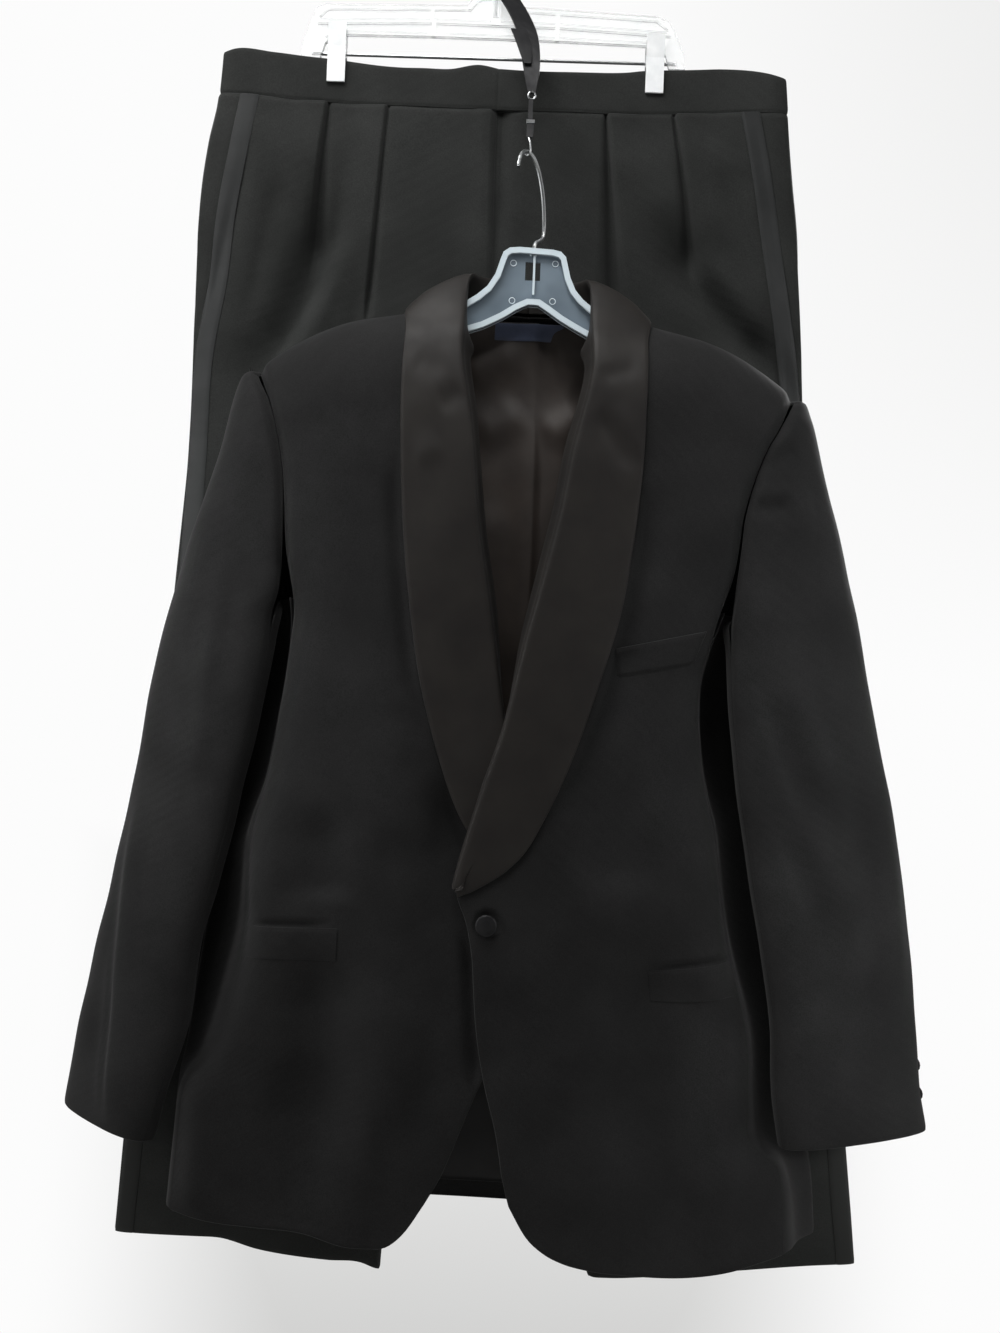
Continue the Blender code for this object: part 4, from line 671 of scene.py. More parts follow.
def makePanel(name, node, grid, cloth, shift=0.0, relief=None):
    points, normals = refine(*grid, *cloth["grid"])
    across, down = runOf(points, 1), runOf(points, 0)
    height = unevenness(points, cloth["swell"][1], len(name) + 7) * cloth["swell"][0]
    if relief:
        height += relief(points)
    # seams draw the border in, by less below the underarm, and turned edges round off
    sides = (across, across[:, -1:] - across, down, down[-1:] - down)
    for distance, border in zip(sides, cloth["borders"]):
        if border == "edge":
            height *= 1 - turnedEdge["flat"] * np.exp(-(distance / turnedEdge["over"]) ** 2)
            height -= turnedEdge["drop"] * np.exp(-(distance / turnedEdge["lip"]) ** 2)
        elif border:
            upper, lower, width = border
            depth = lower + (upper - lower) * soften(*armZone, points[..., 2])
            height -= depth * np.exp(-(distance / width) ** 2)
    smoothed = normals - slopeNormals(points, normals)
    points = points + normals * height[..., None]
    smoothed += slopeNormals(points, normals)
    smoothed /= np.linalg.norm(smoothed, axis=2, keepdims=True)
    piece = makeShell(name, points, normals, smoothed, cloth, shift)
    steps = np.linalg.norm(np.cross(points[1:, 1:] - points[:-1, :-1],
                                    points[:-1, 1:] - points[1:, :-1]), axis=2) / 2
    print(f"{name}: {across[:, -1].max() * mm:.3f} x {down[-1].max() * mm:.3f} m, "
          f"{steps.sum() * mm * mm:.4f} m2")
    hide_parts(node)
    # each piece's cut size in metres: width, length and area
    width, length, area = cloth["cut"][name.split("_")[-1]]
    return piece


# the jacket by level: depths and corners of each half of its section, front to back
bodyTables = {
    -1: readTable("""
        level front cornerX cornerY sideX sideY backX backY back
        -1210 -113  285     -103    291   -70   294   -36   -28
        -1140 -115  280     -103    288   -70   292   -36   -28
        -1089 -115  276     -103    284   -70   290   -36   -28
        -1048 -116  252     -104    268   -70   286   -36   -28
        -1000 -117  241     -104    261   -70   281   -36   -28
        -932  -118  235     -105    254   -70   272   -36   -28
        -864  -118  235     -106    249   -70   262   -36   -28
        -807  -118  224     -106    231   -67   252   -36   -29
        -715  -118  211     -107    214   -64   238   -37   -29
        -655  -118  203     -107    205   -64   228   -37   -30
        -560  -118  224     -107    227   -71   230   -38   -30
        -480  -117  244     -106    246   -71   246   -38   -31
        -385  -114  252     -104    256   -71   254   -38   -32
    """),
    1: readTable("""
        level front cornerX cornerY sideX sideY backX backY back
        -1210 -113  254     -102    275   -68   294   -36   -28
        -1160 -114  251     -102    268   -68   290   -36   -28
        -1130 -115  245     -102    258   -68   285   -36   -28
        -1104 -115  219     -102    242   -69   278   -36   -28
        -1060 -116  216     -103    235   -69   270   -36   -28
        -1000 -117  214     -104    228   -69   260   -36   -28
        -959  -118  208     -105    220   -69   250   -36   -28
        -895  -118  197     -106    208   -69   236   -36   -28
        -836  -118  189     -106    199   -68   229   -36   -29
        -769  -118  175     -107    182   -65   226   -36   -29
        -714  -118  172     -107    178   -64   222   -37   -29
        -655  -118  182     -107    184   -64   216   -37   -30
        -560  -118  222     -107    226   -71   228   -38   -30
        -480  -117  244     -106    246   -71   246   -38   -31
        -385  -114  252     -104    256   -71   254   -38   -32
    """),
}
ridgeTable = readTable("""
    x    z
    0    -379
    60   -380
    88   -385
    105  -388
    160  -400
    203  -420
    240  -446
    262  -464
""")
hemLeftTable = readTable("""
    x    z
    -300 -1196
    -262 -1203
    -215 -1198
    -165 -1201
    -120 -1212
    -97  -1211
    -80  -1199
    -63  -1174
""")
hemRightTable = readTable("""
    x    z
    12   -1170
    29   -1197
    50   -1213
    73   -1221
    100  -1225
    134  -1227
    176  -1226
    218  -1220
    250  -1214
    300  -1206
""")
hemBackTable = readTable("""
    x    z
    -300 -1186
    0    -1190
    300  -1206
""")
edgeTables = {
    -1: readTable("""
        z     x
        -386  -90
        -405  -77
        -425  -67
        -448  -57
        -506  -47.5
        -572  -40.5
        -633  -30.5
        -695  -19.5
        -741  -11.5
        -790  -2.5
        -840  6
        -900  12
        -960  11
        -1020 1
        -1060 -15
        -1092 -28
        -1125 -40
        -1150 -50
        -1174 -63
    """),
    1: readTable("""
        z     x
        -386  90
        -405  77
        -425  68
        -448  60.5
        -476  54.1
        -553  39.5
        -616  26.5
        -667  13.5
        -722  3.5
        -768  -9.5
        -816  -23.5
        -882  -41
        -900  -44
        -910  -41
        -925  -33
        -943  -29
        -1015 -22
        -1059 -14
        -1108 -1
        -1147 6
        -1170 12
    """),
}
armholeTables = {
    -1: readTable("""
        z    front back
        -660 203   214
        -610 206   218
        -554 208   221
        -518 213   224
        -481 223   231
        -454 236   238
        -446 240   240
    """),
    1: readTable("""
        z    front back
        -660 184   202
        -637 186   212
        -594 191   215
        -555 195   217
        -530 202   220
        -501 212   226
        -481 223   231
        -454 236   238
        -446 240   240
    """),
}


def ridgeHeight(x):
    return read(ridgeTable, "z", abs(x)) + shoulderTilt * x


def ridgeDepth(x):
    inside = max(0.0, 1 - abs(x) / neckHalf)
    return hangerY + neckBehind * (1 - (1 - inside) ** 2)


def hemHeight(x, front):
    if not front:
        return read(hemBackTable, "z", x)
    side = 1 - blend(190, 300, abs(x))
    table = hemRightTable if x > -25 else hemLeftTable
    return side * read(table, "z", x) + (1 - side) * read(hemBackTable, "z", x)


def heightOf(x, level, front):
    if level > levelMid:
        ridge = ridgeHeight(x)
        return ridge + (level - ridgeTop) * (levelMid - ridge) / (levelMid - ridgeTop)
    if level < levelLow:
        share = ((levelLow - level) / (levelLow - levelHem)) ** 1.5
        return level + (hemHeight(x, front) - levelHem) * share
    return level


def levelAt(x, z, front=True):
    return solve(lambda level: heightOf(x, level, front), z, levelHem, ridgeTop)


rollRate = shoulderRoll * math.pi / 2


def levelOfRow(row):
    if row < 1:
        return ridgeTop - shoulderRoll * (1 - math.cos(math.pi / 2 * row))
    return ridgeTop - shoulderRoll - (row - 1) * rollRate


def rowOfLevel(level):
    drop = ridgeTop - level
    if drop < shoulderRoll:
        return math.acos(max(-1.0, 1 - drop / shoulderRoll)) / (math.pi / 2)
    return 1 + (drop - shoulderRoll) / rollRate


def bodySection(level, side):
    table = bodyTables[side]
    front, cornerX, cornerY, sideX, sideY, backX, backY, back = (
        read(table, name, level) for name in list(table)[1:])
    return [np.array(p) for p in (
        (0.0, front), (0.42 * cornerX, front), (0.82 * cornerX, front + 1.0),
        (cornerX, cornerY), (sideX, sideY), (backX, backY),
        (0.84 * backX, back - 0.5), (0.42 * backX, back), (0.0, back))]


# stations round a half section, counted from the centre of the front
frontSeam, sideLine, backSeam, centreBack = 3.0, 4.0, 5.0, 8.0


def bodyPoint(a, row, side):
    level = levelOfRow(row)
    section = bodySection(level, side)
    across, sign = (a, 1.0) if a >= 0 else (-a, -1.0)
    x, y = spline(section, across)
    x *= sign * side
    if row < 1:
        middle = ridgeDepth(x) if a > sideLine else hangerY
        y = middle + (y - middle) * math.sin(math.pi / 2 * abs(row)) * (1 if row >= 0 else -1)
    z = heightOf(x, level, a < sideLine)
    if a < frontSeam:
        share = blend(*lap["across"], abs(x)) * blend(*lap["down"], z)
        y -= side * lap["step"] * share * (1 - lap["ease"] * blend(*lap["below"], z))
    return np.array((x, y, z))


def placeAcross(x, level, side, low, high):
    section = bodySection(level, side)
    return solve(lambda a: math.copysign(1, a) * spline(section, abs(a))[0], x, low, high)


def frontPoint(x, z, side, lift=0.0):
    level = levelAt(x, z)
    row = rowOfLevel(level)
    a = placeAcross(x * side, level, side, -1.6, frontSeam)
    return bodyPoint(a, row, side) + bodyNormal(a, row, side) * lift


def bodyNormal(a, row, side):
    return normalOf(lambda u, v: bodyPoint(u, v, side), a, row, -side)


def bodyGrid(columns, rows, side):
    return gridOf(lambda a, row: bodyPoint(a, row, side), columns, rows, -side)


def byLevel(levelFor, xs, zs):
    # a line on the cloth as levels and the x at each
    pairs = sorted((levelFor(x, z), x) for x, z in zip(xs, zs))
    return np.array([pair[0] for pair in pairs]), np.array([pair[1] for pair in pairs])


def levelOnRidge(x, z):
    ridge = read(ridgeTable, "z", x)
    return ridgeTop + (z - ridge) * (levelMid - ridgeTop) / (levelMid - ridge)


def seamByLevel(column, side):
    return byLevel(levelOnRidge, armholeTables[side][column], armholeTables[side]["z"])


def armholeAt(z, column, side):
    seam = seamByLevel(column, side)
    level = solve(lambda v: heightOf(side * smooth(*seam, v), v, True), z, underarm, ridgeTop)
    return smooth(*seam, level), level


def armholeHeight(level, side):
    return heightOf(side * smooth(*seamByLevel("front", side), level), level, True)


rollRows = [0.03, 0.22, 0.46, 0.74, 1.0]
underarm = -657.0
armholeLevels = [-520, -580, -625]
bodyLevels = [underarm, -705, -765, -835, -895, -950, -1005, -1060, -1100, -1130, -1172,
              levelHem]
bodyRows = between(rollRows + [rowOfLevel(level) for level in armholeLevels + bodyLevels])


frontCloth = {
    "grid": (3.1, 2.8), "thickness": 1.6, "finish": "jacketWool",
    "swell": (0, 60), "borders": ("edge", (4.5, 0.0, 6.0), (0.5, 0.5, 3.0), "edge"),
    "hangs": ["jacket_hanger"],
    "cut": {"left": (0.26, 0.87, 0.177), "right": (0.27, 0.87, 0.171)},
}
# the hollow beside each sleeve, which the side panel shares
sideHollows = {
    -1: """
        height width route
        -12 60/18 -206 -600 -205 -655 -213 -715 -226 -807 -236 -864 -239 -932 -246 -1000 -262 -1070
        """,
    1: """
        height width route
        -12 18/60 184 -600 182 -655 173 -714 176 -769 190 -836 199 -895 208 -950 214 -1000 219 -1040
        """,
}
frontFolds = {
    -1: """
        height width route
        3.5  26/26  -215 -800  -212 -870  -205 -930
        -7.0 26/20  -168 -820  -160 -880  -158 -915
        4.0  30/34  -112 -740  -104 -880
        6.0  26/36  -96 -960  -100 -1060  -106 -1200
        -5.0 16/20  -60 -960  -64 -1040  -77 -1094  -95 -1170
        -20  42/32  -172 -930  -164 -1010  -162 -1090  -170 -1230
        7.0  14/24  -262 -1050  -262 -1119  -264 -1230
        -3.0 16/18  -62 -760  -57 -830  -48 -902
        -9.0 15/14  -64 -790  -46 -838  -30 -872  -22 -900
        -4.5 10/6   -111 -500  -109 -560  -102 -625  -90 -705  -70 -775
        -2.0 10/10  -234 -541  -211 -550
        2.5  22/24  -150 -480  -162 -560  -158 -680
        -5.5 5/6    -40 -926  -32 -955  -28 -1000  -23 -1050  -17 -1090
        """,
    1: """
        height width route
        6.0  22/18  196 -990  198 -1080  200 -1225
        -20  54/28  116 -910  128 -1000  136 -1080  142 -1225
        3.0  26/28  150 -700  160 -820  172 -920
        -5.5 6/18   112 -520  109 -570  102 -620  93 -672  74 -742  48 -808  20 -862
        2.5  22/22  145 -500  152 -560  146 -640
        -5.0 36/26  100 -760  98 -850  104 -900
        3.0  16/22  20 -930  14 -1000  20 -1120
        """,
}
pocketSlits = {
    -1: """
        height width route
        -4.2 3/3    -224 -932  -190 -931  -147 -930
        """,
    1: """
        height width route
        -4.2 3/3    128 -959  165 -953  206 -946
        """,
}
button = {"place": (-15.5, -923.0), "dip": 3.6, "reach": (9.5, 13.5)}


def frontRelief(side, slits=True):
    # what lies on a front follows it by the same relief, and the button draws the cloth in
    folds = readFolds(frontFolds[side]) + readFolds(sideHollows[side])
    folds += readFolds(pocketSlits[side]) if slits else []

    def relief(points):
        x, z = points[..., 0], points[..., 2]
        around = np.hypot(x - button["place"][0], z - button["place"][1])
        dip = button["dip"] * (1 - soften(*button["reach"], around))
        return foldHeight(points, folds) + 0.45 * unevenness(points, 60, 17 + side) - dip

    return relief


def makeFront(word, side):
    edge = byLevel(levelAt, edgeTables[side]["x"], edgeTables[side]["z"])
    seam = seamByLevel("front", side)
    shares = [0, 0.05, 0.1, 0.16, 0.22, 0.35, 0.5, 0.66, 0.8, 0.86, 0.91, 0.96, 1]

    def columns(row):
        level = levelOfRow(row)
        first = placeAcross(smooth(*edge, level) * side, level, side, -1.6, frontSeam)
        last = frontSeam - seamGap / 60
        if level > underarm:
            last = placeAcross(smooth(*seam, level) - seamGap, level, side, 0.0, frontSeam)
        return spaced(first, last, shares)

    grid = bodyGrid(columns, bodyRows, side)
    return makePanel(f"front_{word}", f"jacket_front_{word}", grid, frontCloth,
                     jacketX, frontRelief(side))


sideCloth = {
    "grid": (3.5, 4.5), "thickness": 1.6, "finish": "jacketWool",
    "swell": (0, 50), "borders": (None, None, None, "edge"),
    "hangs": ["jacket_hanger"],
    "cut": {"left": (0.08, 0.56, 0.042), "right": (0.10, 0.58, 0.0505)},
}


def makeSide(word, side):
    gap = seamGap / 60
    first, last = frontSeam + gap, backSeam - 5 * gap
    rows = between([rowOfLevel(level) for level in [underarm + 10] + bodyLevels])
    grid = bodyGrid(lambda row: spaced(first, last, even(7)), rows, side)

    def relief(points):
        # the front's folds run on over the side and fade out before the back seam
        share = runOf(points, 1)
        share = share / share[:, -1:]
        return frontRelief(side)(points) * (1 - soften(0.7, 1.0, share))

    return makePanel(f"side_{word}", f"jacket_side_{word}", grid, sideCloth, jacketX, relief)


backCloth = {
    "grid": (4.5, 5.0), "thickness": 1.6, "finish": "jacketWool",
    "swell": (0.0, 75), "borders": ((2.4, 0.0, 5.0), (0.6, 0.6, 3.0), (0.5, 0.5, 3.0), "edge"),
    "hangs": ["jacket_hanger"],
    "cut": {"left": (0.30, 0.84, 0.207), "right": (0.30, 0.84, 0.198)},
}
backFolds = {
    -1: """
        height width route
        -3.0 18/24  -120 -470  -132 -640  -120 -820
        2.2  26/30  -170 -480  -176 -650  -150 -860
        -2.6 20/26  -90 -760  -110 -960  -120 -1190
        2.4  26/30  -170 -820  -180 -1000  -190 -1190
        -2.0 14/20  -215 -700  -222 -860  -236 -1020
        1.8  20/24  -48 -900  -52 -1050  -56 -1190
        -1.4 12/16  -30 -480  -34 -600  -30 -720
        """,
    1: """
        height width route
        -2.8 20/24  112 -470  126 -620  118 -800
        2.2  24/28  164 -490  166 -660  148 -850
        -2.8 22/26  84 -780  98 -960  106 -1195
        2.2  24/30  158 -830  166 -1010  172 -1195
        -2.0 16/20  202 -710  206 -870  222 -1020
        1.6  18/22  44 -880  46 -1040  50 -1190
        -1.2 12/16  40 -500  38 -620  42 -740
        """,
}


def backRelief(points):
    # the back's folds, which the lining in front of it follows
    total = unevenness(points, 75, 11) * 0.7
    for side in (-1, 1):
        near = soften(-12, 12, points[..., 0] * side)
        total += foldHeight(points, readFolds(backFolds[side])) * near
    return total


def makeBack(word, side):
    seam = seamByLevel("back", side)
    gap = seamGap / 60
    shares = [0, 0.05, 0.1, 0.17, 0.25, 0.44, 0.55, 0.65, 0.74, 0.82, 0.91, 1]

    def columns(row):
        level = levelOfRow(row)
        first, last = backSeam + gap, centreBack - gap / 3
        if level > underarm:
            first = placeAcross(smooth(*seam, level) - seamGap, level, side, backSeam,
                                centreBack)
        return spaced(first, last, shares)

    grid = bodyGrid(columns, bodyRows, side)
    return makePanel(f"back_{word}", f"jacket_back_{word}", grid, backCloth,
                     jacketX, backRelief)


liningLift = {
    "pleatX": 9.0, "pleatHalf": 14, "pleat": 2.4, "pleatFrom": (-900, -560),
    "neck": 2.2, "neckDrop": 0.8, "neckFrom": (-490, -430),
}


def liningEase(point):
    # the lining stands off the back at its pleat and at the neck, where it also drops
    x, _, z = point
    off = liningLift["pleatX"] - x
    fold = max(0.0, 1 - abs(off) / liningLift["pleatHalf"]) if off >= -0.1 else 0.0
    fold *= liningLift["pleat"] * blend(*liningLift["pleatFrom"], z)
    neck = blend(*liningLift["neckFrom"], z)
    return np.array((0, -fold - liningLift["neck"] * neck, -liningLift["neckDrop"] * neck))


def liningFace(x, z, offset):
    side = 1.0 if x >= 0 else -1.0
    level = levelAt(x, z, front=False)
    a = placeAcross(abs(x), level, side, backSeam, centreBack)
    point = bodyPoint(a, rowOfLevel(level), side)
    point += liningEase(point)
    clear = jacketWall + liningCloth["clear"] + liningWall
    return point + bodyNormal(a, rowOfLevel(level), side) * (offset - clear)


liningCloth = {
    "grid": (3.3, 5.2), "thickness": 0.8, "finish": "lining",
    "swell": (0.0, 45), "borders": (None, None, None, "edge"),
    "cut": {"back": (0.35, 0.80, 0.263)}, "hangs": ["jacket_hanger"],
    "half": 165.0, "foot": -1192, "clear": 0.6,
}
liningFolds = """
    height width route
    5.0  18/2.4 8 -440  10 -500  11 -570  10 -660  8 -760  8 -860
    4.0  16/18  -64 -440  -30 -424  2 -410
    4.0  14/18  -50 -492  -20 -478  2 -462
    4.0  16/14  18 -410  40 -402  64 -398
    4.5  14/16  16 -492  38 -478  60 -462
    2.6  14/14  -26 -540  -32 -600  -28 -700
    """


def liningRelief(points):
    # the lining lies on the back and lifts off it towards the viewer at its own folds
    own = foldHeight(points, readFolds(liningFolds)) + 0.5 * (1 + unevenness(points, 34, 5))
    return backRelief(points) - np.maximum(own, 0)


def makeLining():
    half = liningCloth["half"]

    def surface(x, row):
        side = 1.0 if x >= 0 else -1.0
        a = placeAcross(abs(x), levelOfRow(row), side, backSeam, centreBack)
        return bodyPoint(a, row, side)

    columns = [-half, -130, -95, -72, -50, -28, -8, 3, 9, 10.5, 24, 45, 68, 95, 130, half]
    rows = bodyRows[2:-2] + [rowOfLevel(liningCloth["foot"])]
    points, normals = gridOf(surface, lambda row: columns, rows, 1, liningEase)
    points = points - normals * (jacketWall + liningCloth["clear"])
    return makePanel("lining_back", "back_lining", (points, normals), liningCloth,
                     jacketX, liningRelief)


def layOn(corners, face, columns, rows, lift):
    # points of a small piece laid on the cloth inside four (x, z) corners, top left first
    (x0, z0), (x1, z1), (x2, z2), (x3, z3) = corners

    def surface(u, v):
        x = (1 - v) * ((1 - u) * x0 + u * x1) + v * ((1 - u) * x3 + u * x2)
        z = (1 - v) * ((1 - u) * z0 + u * z1) + v * ((1 - u) * z3 + u * z2)
        return face(x, z, lift)

    return gridOf(surface, lambda v: even(columns), even(rows), -1)


labelCloth = {
    "grid": (1.6, 1.4), "thickness": 0.6, "finish": "label", "swell": (0.15, 30),
    "borders": ("edge", "edge", "edge", "edge"), "cut": {"bare": (0.076, 0.016, 0.0012)},
    "hangs": ["lining_back"],
    "corners": [(-30, -384.5), (45, -384.5), (45, -400), (-30, -400)],
}
flapCloth = {
    "grid": (2.0, 1.8), "thickness": 0.6, "finish": "jacketWool",
    "swell": (0, 40), "borders": (None, None, (0.5, 0.5, 2.0), None),
    "cut": {"left": (0.085, 0.030, 0.0025), "right": (0.080, 0.030, 0.0024)},
    "corners": {-1: [(-229, -935), (-146, -933), (-147, -962), (-230, -962)],
                1: [(127, -962), (203, -950), (204, -980), (131, -990)]},
}
weltCloth = {
    "grid": (2.0, 1.8), "thickness": 1.2, "finish": "jacketWool",
    "swell": (0, 40), "borders": ((1, 1, 2), (1, 1, 2), "edge", (1.2, 1.2, 2.0)),
    "cut": {"chest": (0.080, 0.031, 0.0021)}, "hangs": ["front_right"],
    "corners": [(87, -681), (165, -663), (155, -692), (89, -706)],
}


def makeSmallPieces():
    grid = layOn(labelCloth["corners"], lambda x, z, lift: liningFace(x, z, -lift), 9, 3, 1.7)
    makePanel("label_bare", "neck_label", grid, labelCloth, jacketX)
    for word, side in bothSides:
        grid = layOn(flapCloth["corners"][side],
                     lambda x, z, lift: frontPoint(x, z, side, lift), 8, 3, 0.9)
        makePanel(f"flap_{word}", f"pocket_flap_{word}", grid,
                  {**flapCloth, "hangs": [f"front_{word}"]}, jacketX,
                  frontRelief(side, False))
    grid = layOn(weltCloth["corners"], lambda x, z, lift: frontPoint(x, z, 1, lift), 6, 3, 1.6)
    makePanel("welt_chest", "chest_welt", grid, weltCloth, jacketX, frontRelief(1))


for word, side in bothSides:
    makeFront(word, side)
    makeSide(word, side)
    makeBack(word, side)
makeLining()
makeSmallPieces()
print("jacket body made")


# the flattened sleeves by level: their inner and outer ends, half depth and the hem's slant
sleeveTables = {
    -1: readTable("""
        level innerX innerY outerX outerY half lean
        -1119 -306   -110   -391   -34    23   -0.16
        -1081 -296   -109   -387   -36    23   -0.12
        -1016 -277   -108   -376   -38    24   -0.07
        -958  -272   -107   -365   -42    24   -0.03
        -901  -257   -106   -353   -48    25   0
        -823  -240   -104   -338   -55    26   0
        -742  -223   -106   -323   -63    28   0
        -655  -209   -98    -306   -70    31   0
        -610  -190   -84    -296   -72    37   0
        -560  -176   -78    -283   -73    40   0
        -520  -176   -74    -272   -73    40   0
        -490  -186   -72    -265   -72    38   0
        -470  -200   -72    -260   -72    34   0
        -456  -214   -72    -256   -72    26   0
        -449  -225   -72    -253   -72    19   0
        -445  -230   -72    -248   -72    13   0
        -442  -232   -72    -241   -72    10   0
    """),
    1: readTable("""
        level innerX innerY outerX outerY half lean
        -1105 247    -112   384    -62    23   0.07
        -1063 240    -112   376    -63    23   0.05
        -1008 236    -112   371    -64    23   0.02
        -950  226    -112   364    -65    23   0
        -903  217    -111   357    -66    24   0
        -803  199    -109   338    -68    25   0
        -722  189    -105   319    -69    27   0
        -655  184    -98    303    -70    31   0
        -610  176    -84    291    -72    37   0
        -560  172    -78    280    -73    40   0
        -520  176    -74    269    -73    40   0
        -495  186    -72    263    -72    38   0
        -476  200    -72    258    -72    34   0
        -464  214    -72    254    -72    26   0
        -457  225    -72    252    -72    19   0
        -453  230    -72    248    -72    13   0
        -450  232    -72    241    -72    10   0
    """),
}
topSeam = 3.45         # the elbow seam, in radians round the sleeve from its inner end
elbowGap = 0.012
cuffSquare = 2.5       # how boxy the flattened sleeve is


def sleevePoint(angle, level, side):
    table = sleeveTables[side]
    innerX, innerY, outerX, outerY, half, lean = (
        read(table, name, level) for name in list(table)[1:])
    inner, outer = np.array((innerX, innerY)), np.array((outerX, outerY))
    axis = outer - inner
    length = np.linalg.norm(axis)
    across = np.array((axis[1], -axis[0])) / length * side
    longShare, deepShare = squared(angle, cuffSquare)
    x, y = (inner + outer) / 2 + axis / 2 * longShare + across * half * deepShare
    middle = (innerX + outerX) / 2
    return np.array((x, y, level + lean * (x - middle)))


def sleeveSpans(side):
    table = sleeveTables[side]
    first, last = 0.1, 2 * math.pi + 0.1 - elbowGap

    def start(level, column, low, high):
        seam = armholeAt(level, column, side)[0] + seamGap * 1.3
        inner, outer = abs(read(table, "innerX", level)), abs(read(table, "outerX", level))
        seam = max(inner + 0.4, min(outer - 0.6, seam))
        return solve(lambda t: abs(sleevePoint(t, level, side)[0]), seam, low, high)

    def ends(level):
        if level <= underarm:
            return first, last
        return (start(level, "front", first, math.pi - 0.05),
                start(level, "back", 2 * math.pi - 0.1, math.pi + 0.35))

    return ends


def seamedSleeve(side):
    ends = sleeveSpans(side)
    table = sleeveTables[side]
    heights = [table["level"][-1] - d for d in (0, 3, 8, 16, 30, 50, 80, 120, 165, 200)]
    heights = sorted(h for h in heights if h > underarm + 12)
    shift = {"front": [0.0], "back": [0.0]}
    seams = {"front": [], "back": []}
    for height in heights:
        for column, angle in zip(("front", "back"), ends(height)):
            seam, level = armholeAt(height, column, side)
            low, high = (0.0, frontSeam) if column == "front" else (backSeam, centreBack)
            a = placeAcross(seam, level, side, low, high)
            depth = bodyPoint(a, rowOfLevel(level), side)[1]
            shift[column].append(depth - sleevePoint(angle, height, side)[1])
            seams[column].append(seam)
    levels = np.array([underarm] + heights)

    def surface(angle, level):
        point = sleevePoint(angle, level, side)
        column = "front" if angle % (2 * math.pi) < math.pi else "back"
        seam = smooth(np.array(heights), np.array(seams[column]), level)
        reach = max(0.3, min(34.0, 0.85 * (abs(read(table, "outerX", level)) - seam)))
        near = 1 - blend(0, reach, abs(point[0]) - seam)
        point[1] += smooth(levels, np.array(shift[column]), level) * near
        return point

    return surface


sleeveCloth = {
    "grid": (3.0, 3.8), "thickness": 1.5, "finish": "jacketWool",
    "swell": (0.6, 42), "borders": ((4.0, 0.4, 5.5), (0.0, 0.0, 4.0), (1.6, 1.6, 4.0), "edge"),
    "cut": {"left": (0.16, 0.72, 0.0925), "right": (0.18, 0.71, 0.1015)},
}
underCloth = {
    **sleeveCloth, "grid": (3.5, 4.5),
    "cut": {"left": (0.14, 0.76, 0.076), "right": (0.16, 0.73, 0.085)},
}
sleeveFolds = {
    -1: """
        height width route
        3.0  9/22   -300 -640  -318 -740  -326 -820
        9.0  9/34   -320 -800  -328 -860  -334 -959  -339 -1068  -342 -1130
        3.2  12/14  -262 -640  -270 -740  -280 -820
        -3.0 10/14  -246 -600  -252 -680  -262 -750
        3.0  12/12  -272 -560  -288 -640  -302 -720
        1.6  4/4    -348 -940  -352 -1030  -354 -1120
        -1.6 4/4    -343 -960  -345 -1040  -347 -1120
        """,
    1: """
        height width route
        -4.2 12/18  210 -690  230 -750  252 -800  270 -835
        4.0  14/16  232 -690  254 -745  282 -805
        -3.0 12/16  240 -830  258 -880  280 -930
        3.2  14/16  258 -820  276 -865  296 -905
        -3.4 16/18  300 -740  310 -830  322 -920
        4.5  16/12  326 -780  340 -900  352 -1000
        -2.0 7/7    196 -554  214 -555  242 -551
        1.6  7/7    198 -540  216 -540  242 -536
        -2.0 9/9    204 -521  223 -510  239 -496
        -2.6 10/12  253 -520  262 -571  254 -640
        2.2  14/18  274 -550  286 -640  298 -720
        -1.6 18/18  266 -960  300 -985  340 -996
        1.6  18/18  280 -925  312 -950  346 -962
        """,
}


def makeSleeve(word, side):
    ends, surface = sleeveSpans(side), seamedSleeve(side)
    table = sleeveTables[side]
    top, hem = table["level"][-1], table["level"][0]
    body = [levelOfRow(row) for row in rollRows[1:]] + armholeLevels
    levels = [top, top - 2.6] + [armholeHeight(level, side) for level in body]
    levels += [underarm, -700, -765, -835, -905, -980, -1050, -1080, hem]
    levels = levels[:2] + between(levels[2:])

    def seamAngle(level):
        return topSeam if level < underarm else topSeam + 0.1 * blend(underarm, -480, level)

    def topColumns(level):
        gap = seamGap * (1.4 + 9 * blend(top - 14, top, level)) / read(table, "half", level)
        first, last = ends(level)[0], seamAngle(level) - gap
        return spaced(first, last, [0, 0.03, 0.06, 0.13, 0.2, 0.3, 0.4, 0.51, 0.62, 0.8, 0.93, 1])

    def underColumns(level):
        first = seamAngle(level)
        last = max(first + 0.05, ends(level)[1])
        return spaced(first, last, [0, 0.1, 0.2, 0.35, 0.5, 0.62, 0.75, 0.84, 0.92, 1])

    hangs = [f"front_{word}", f"back_{word}"]
    makePanel(f"sleeve_upper_{word}", f"sleeve_top_{word}",
              gridOf(surface, topColumns, levels, side), {**sleeveCloth, "hangs": hangs},
              jacketX, reliefOf(sleeveFolds[side]))
    makePanel(f"sleeve_lower_{word}", f"sleeve_under_{word}",
              gridOf(surface, underColumns, levels, side), {**underCloth, "hangs": hangs},
              jacketX)


for word, side in bothSides:
    makeSleeve(word, side)
print("sleeves made")


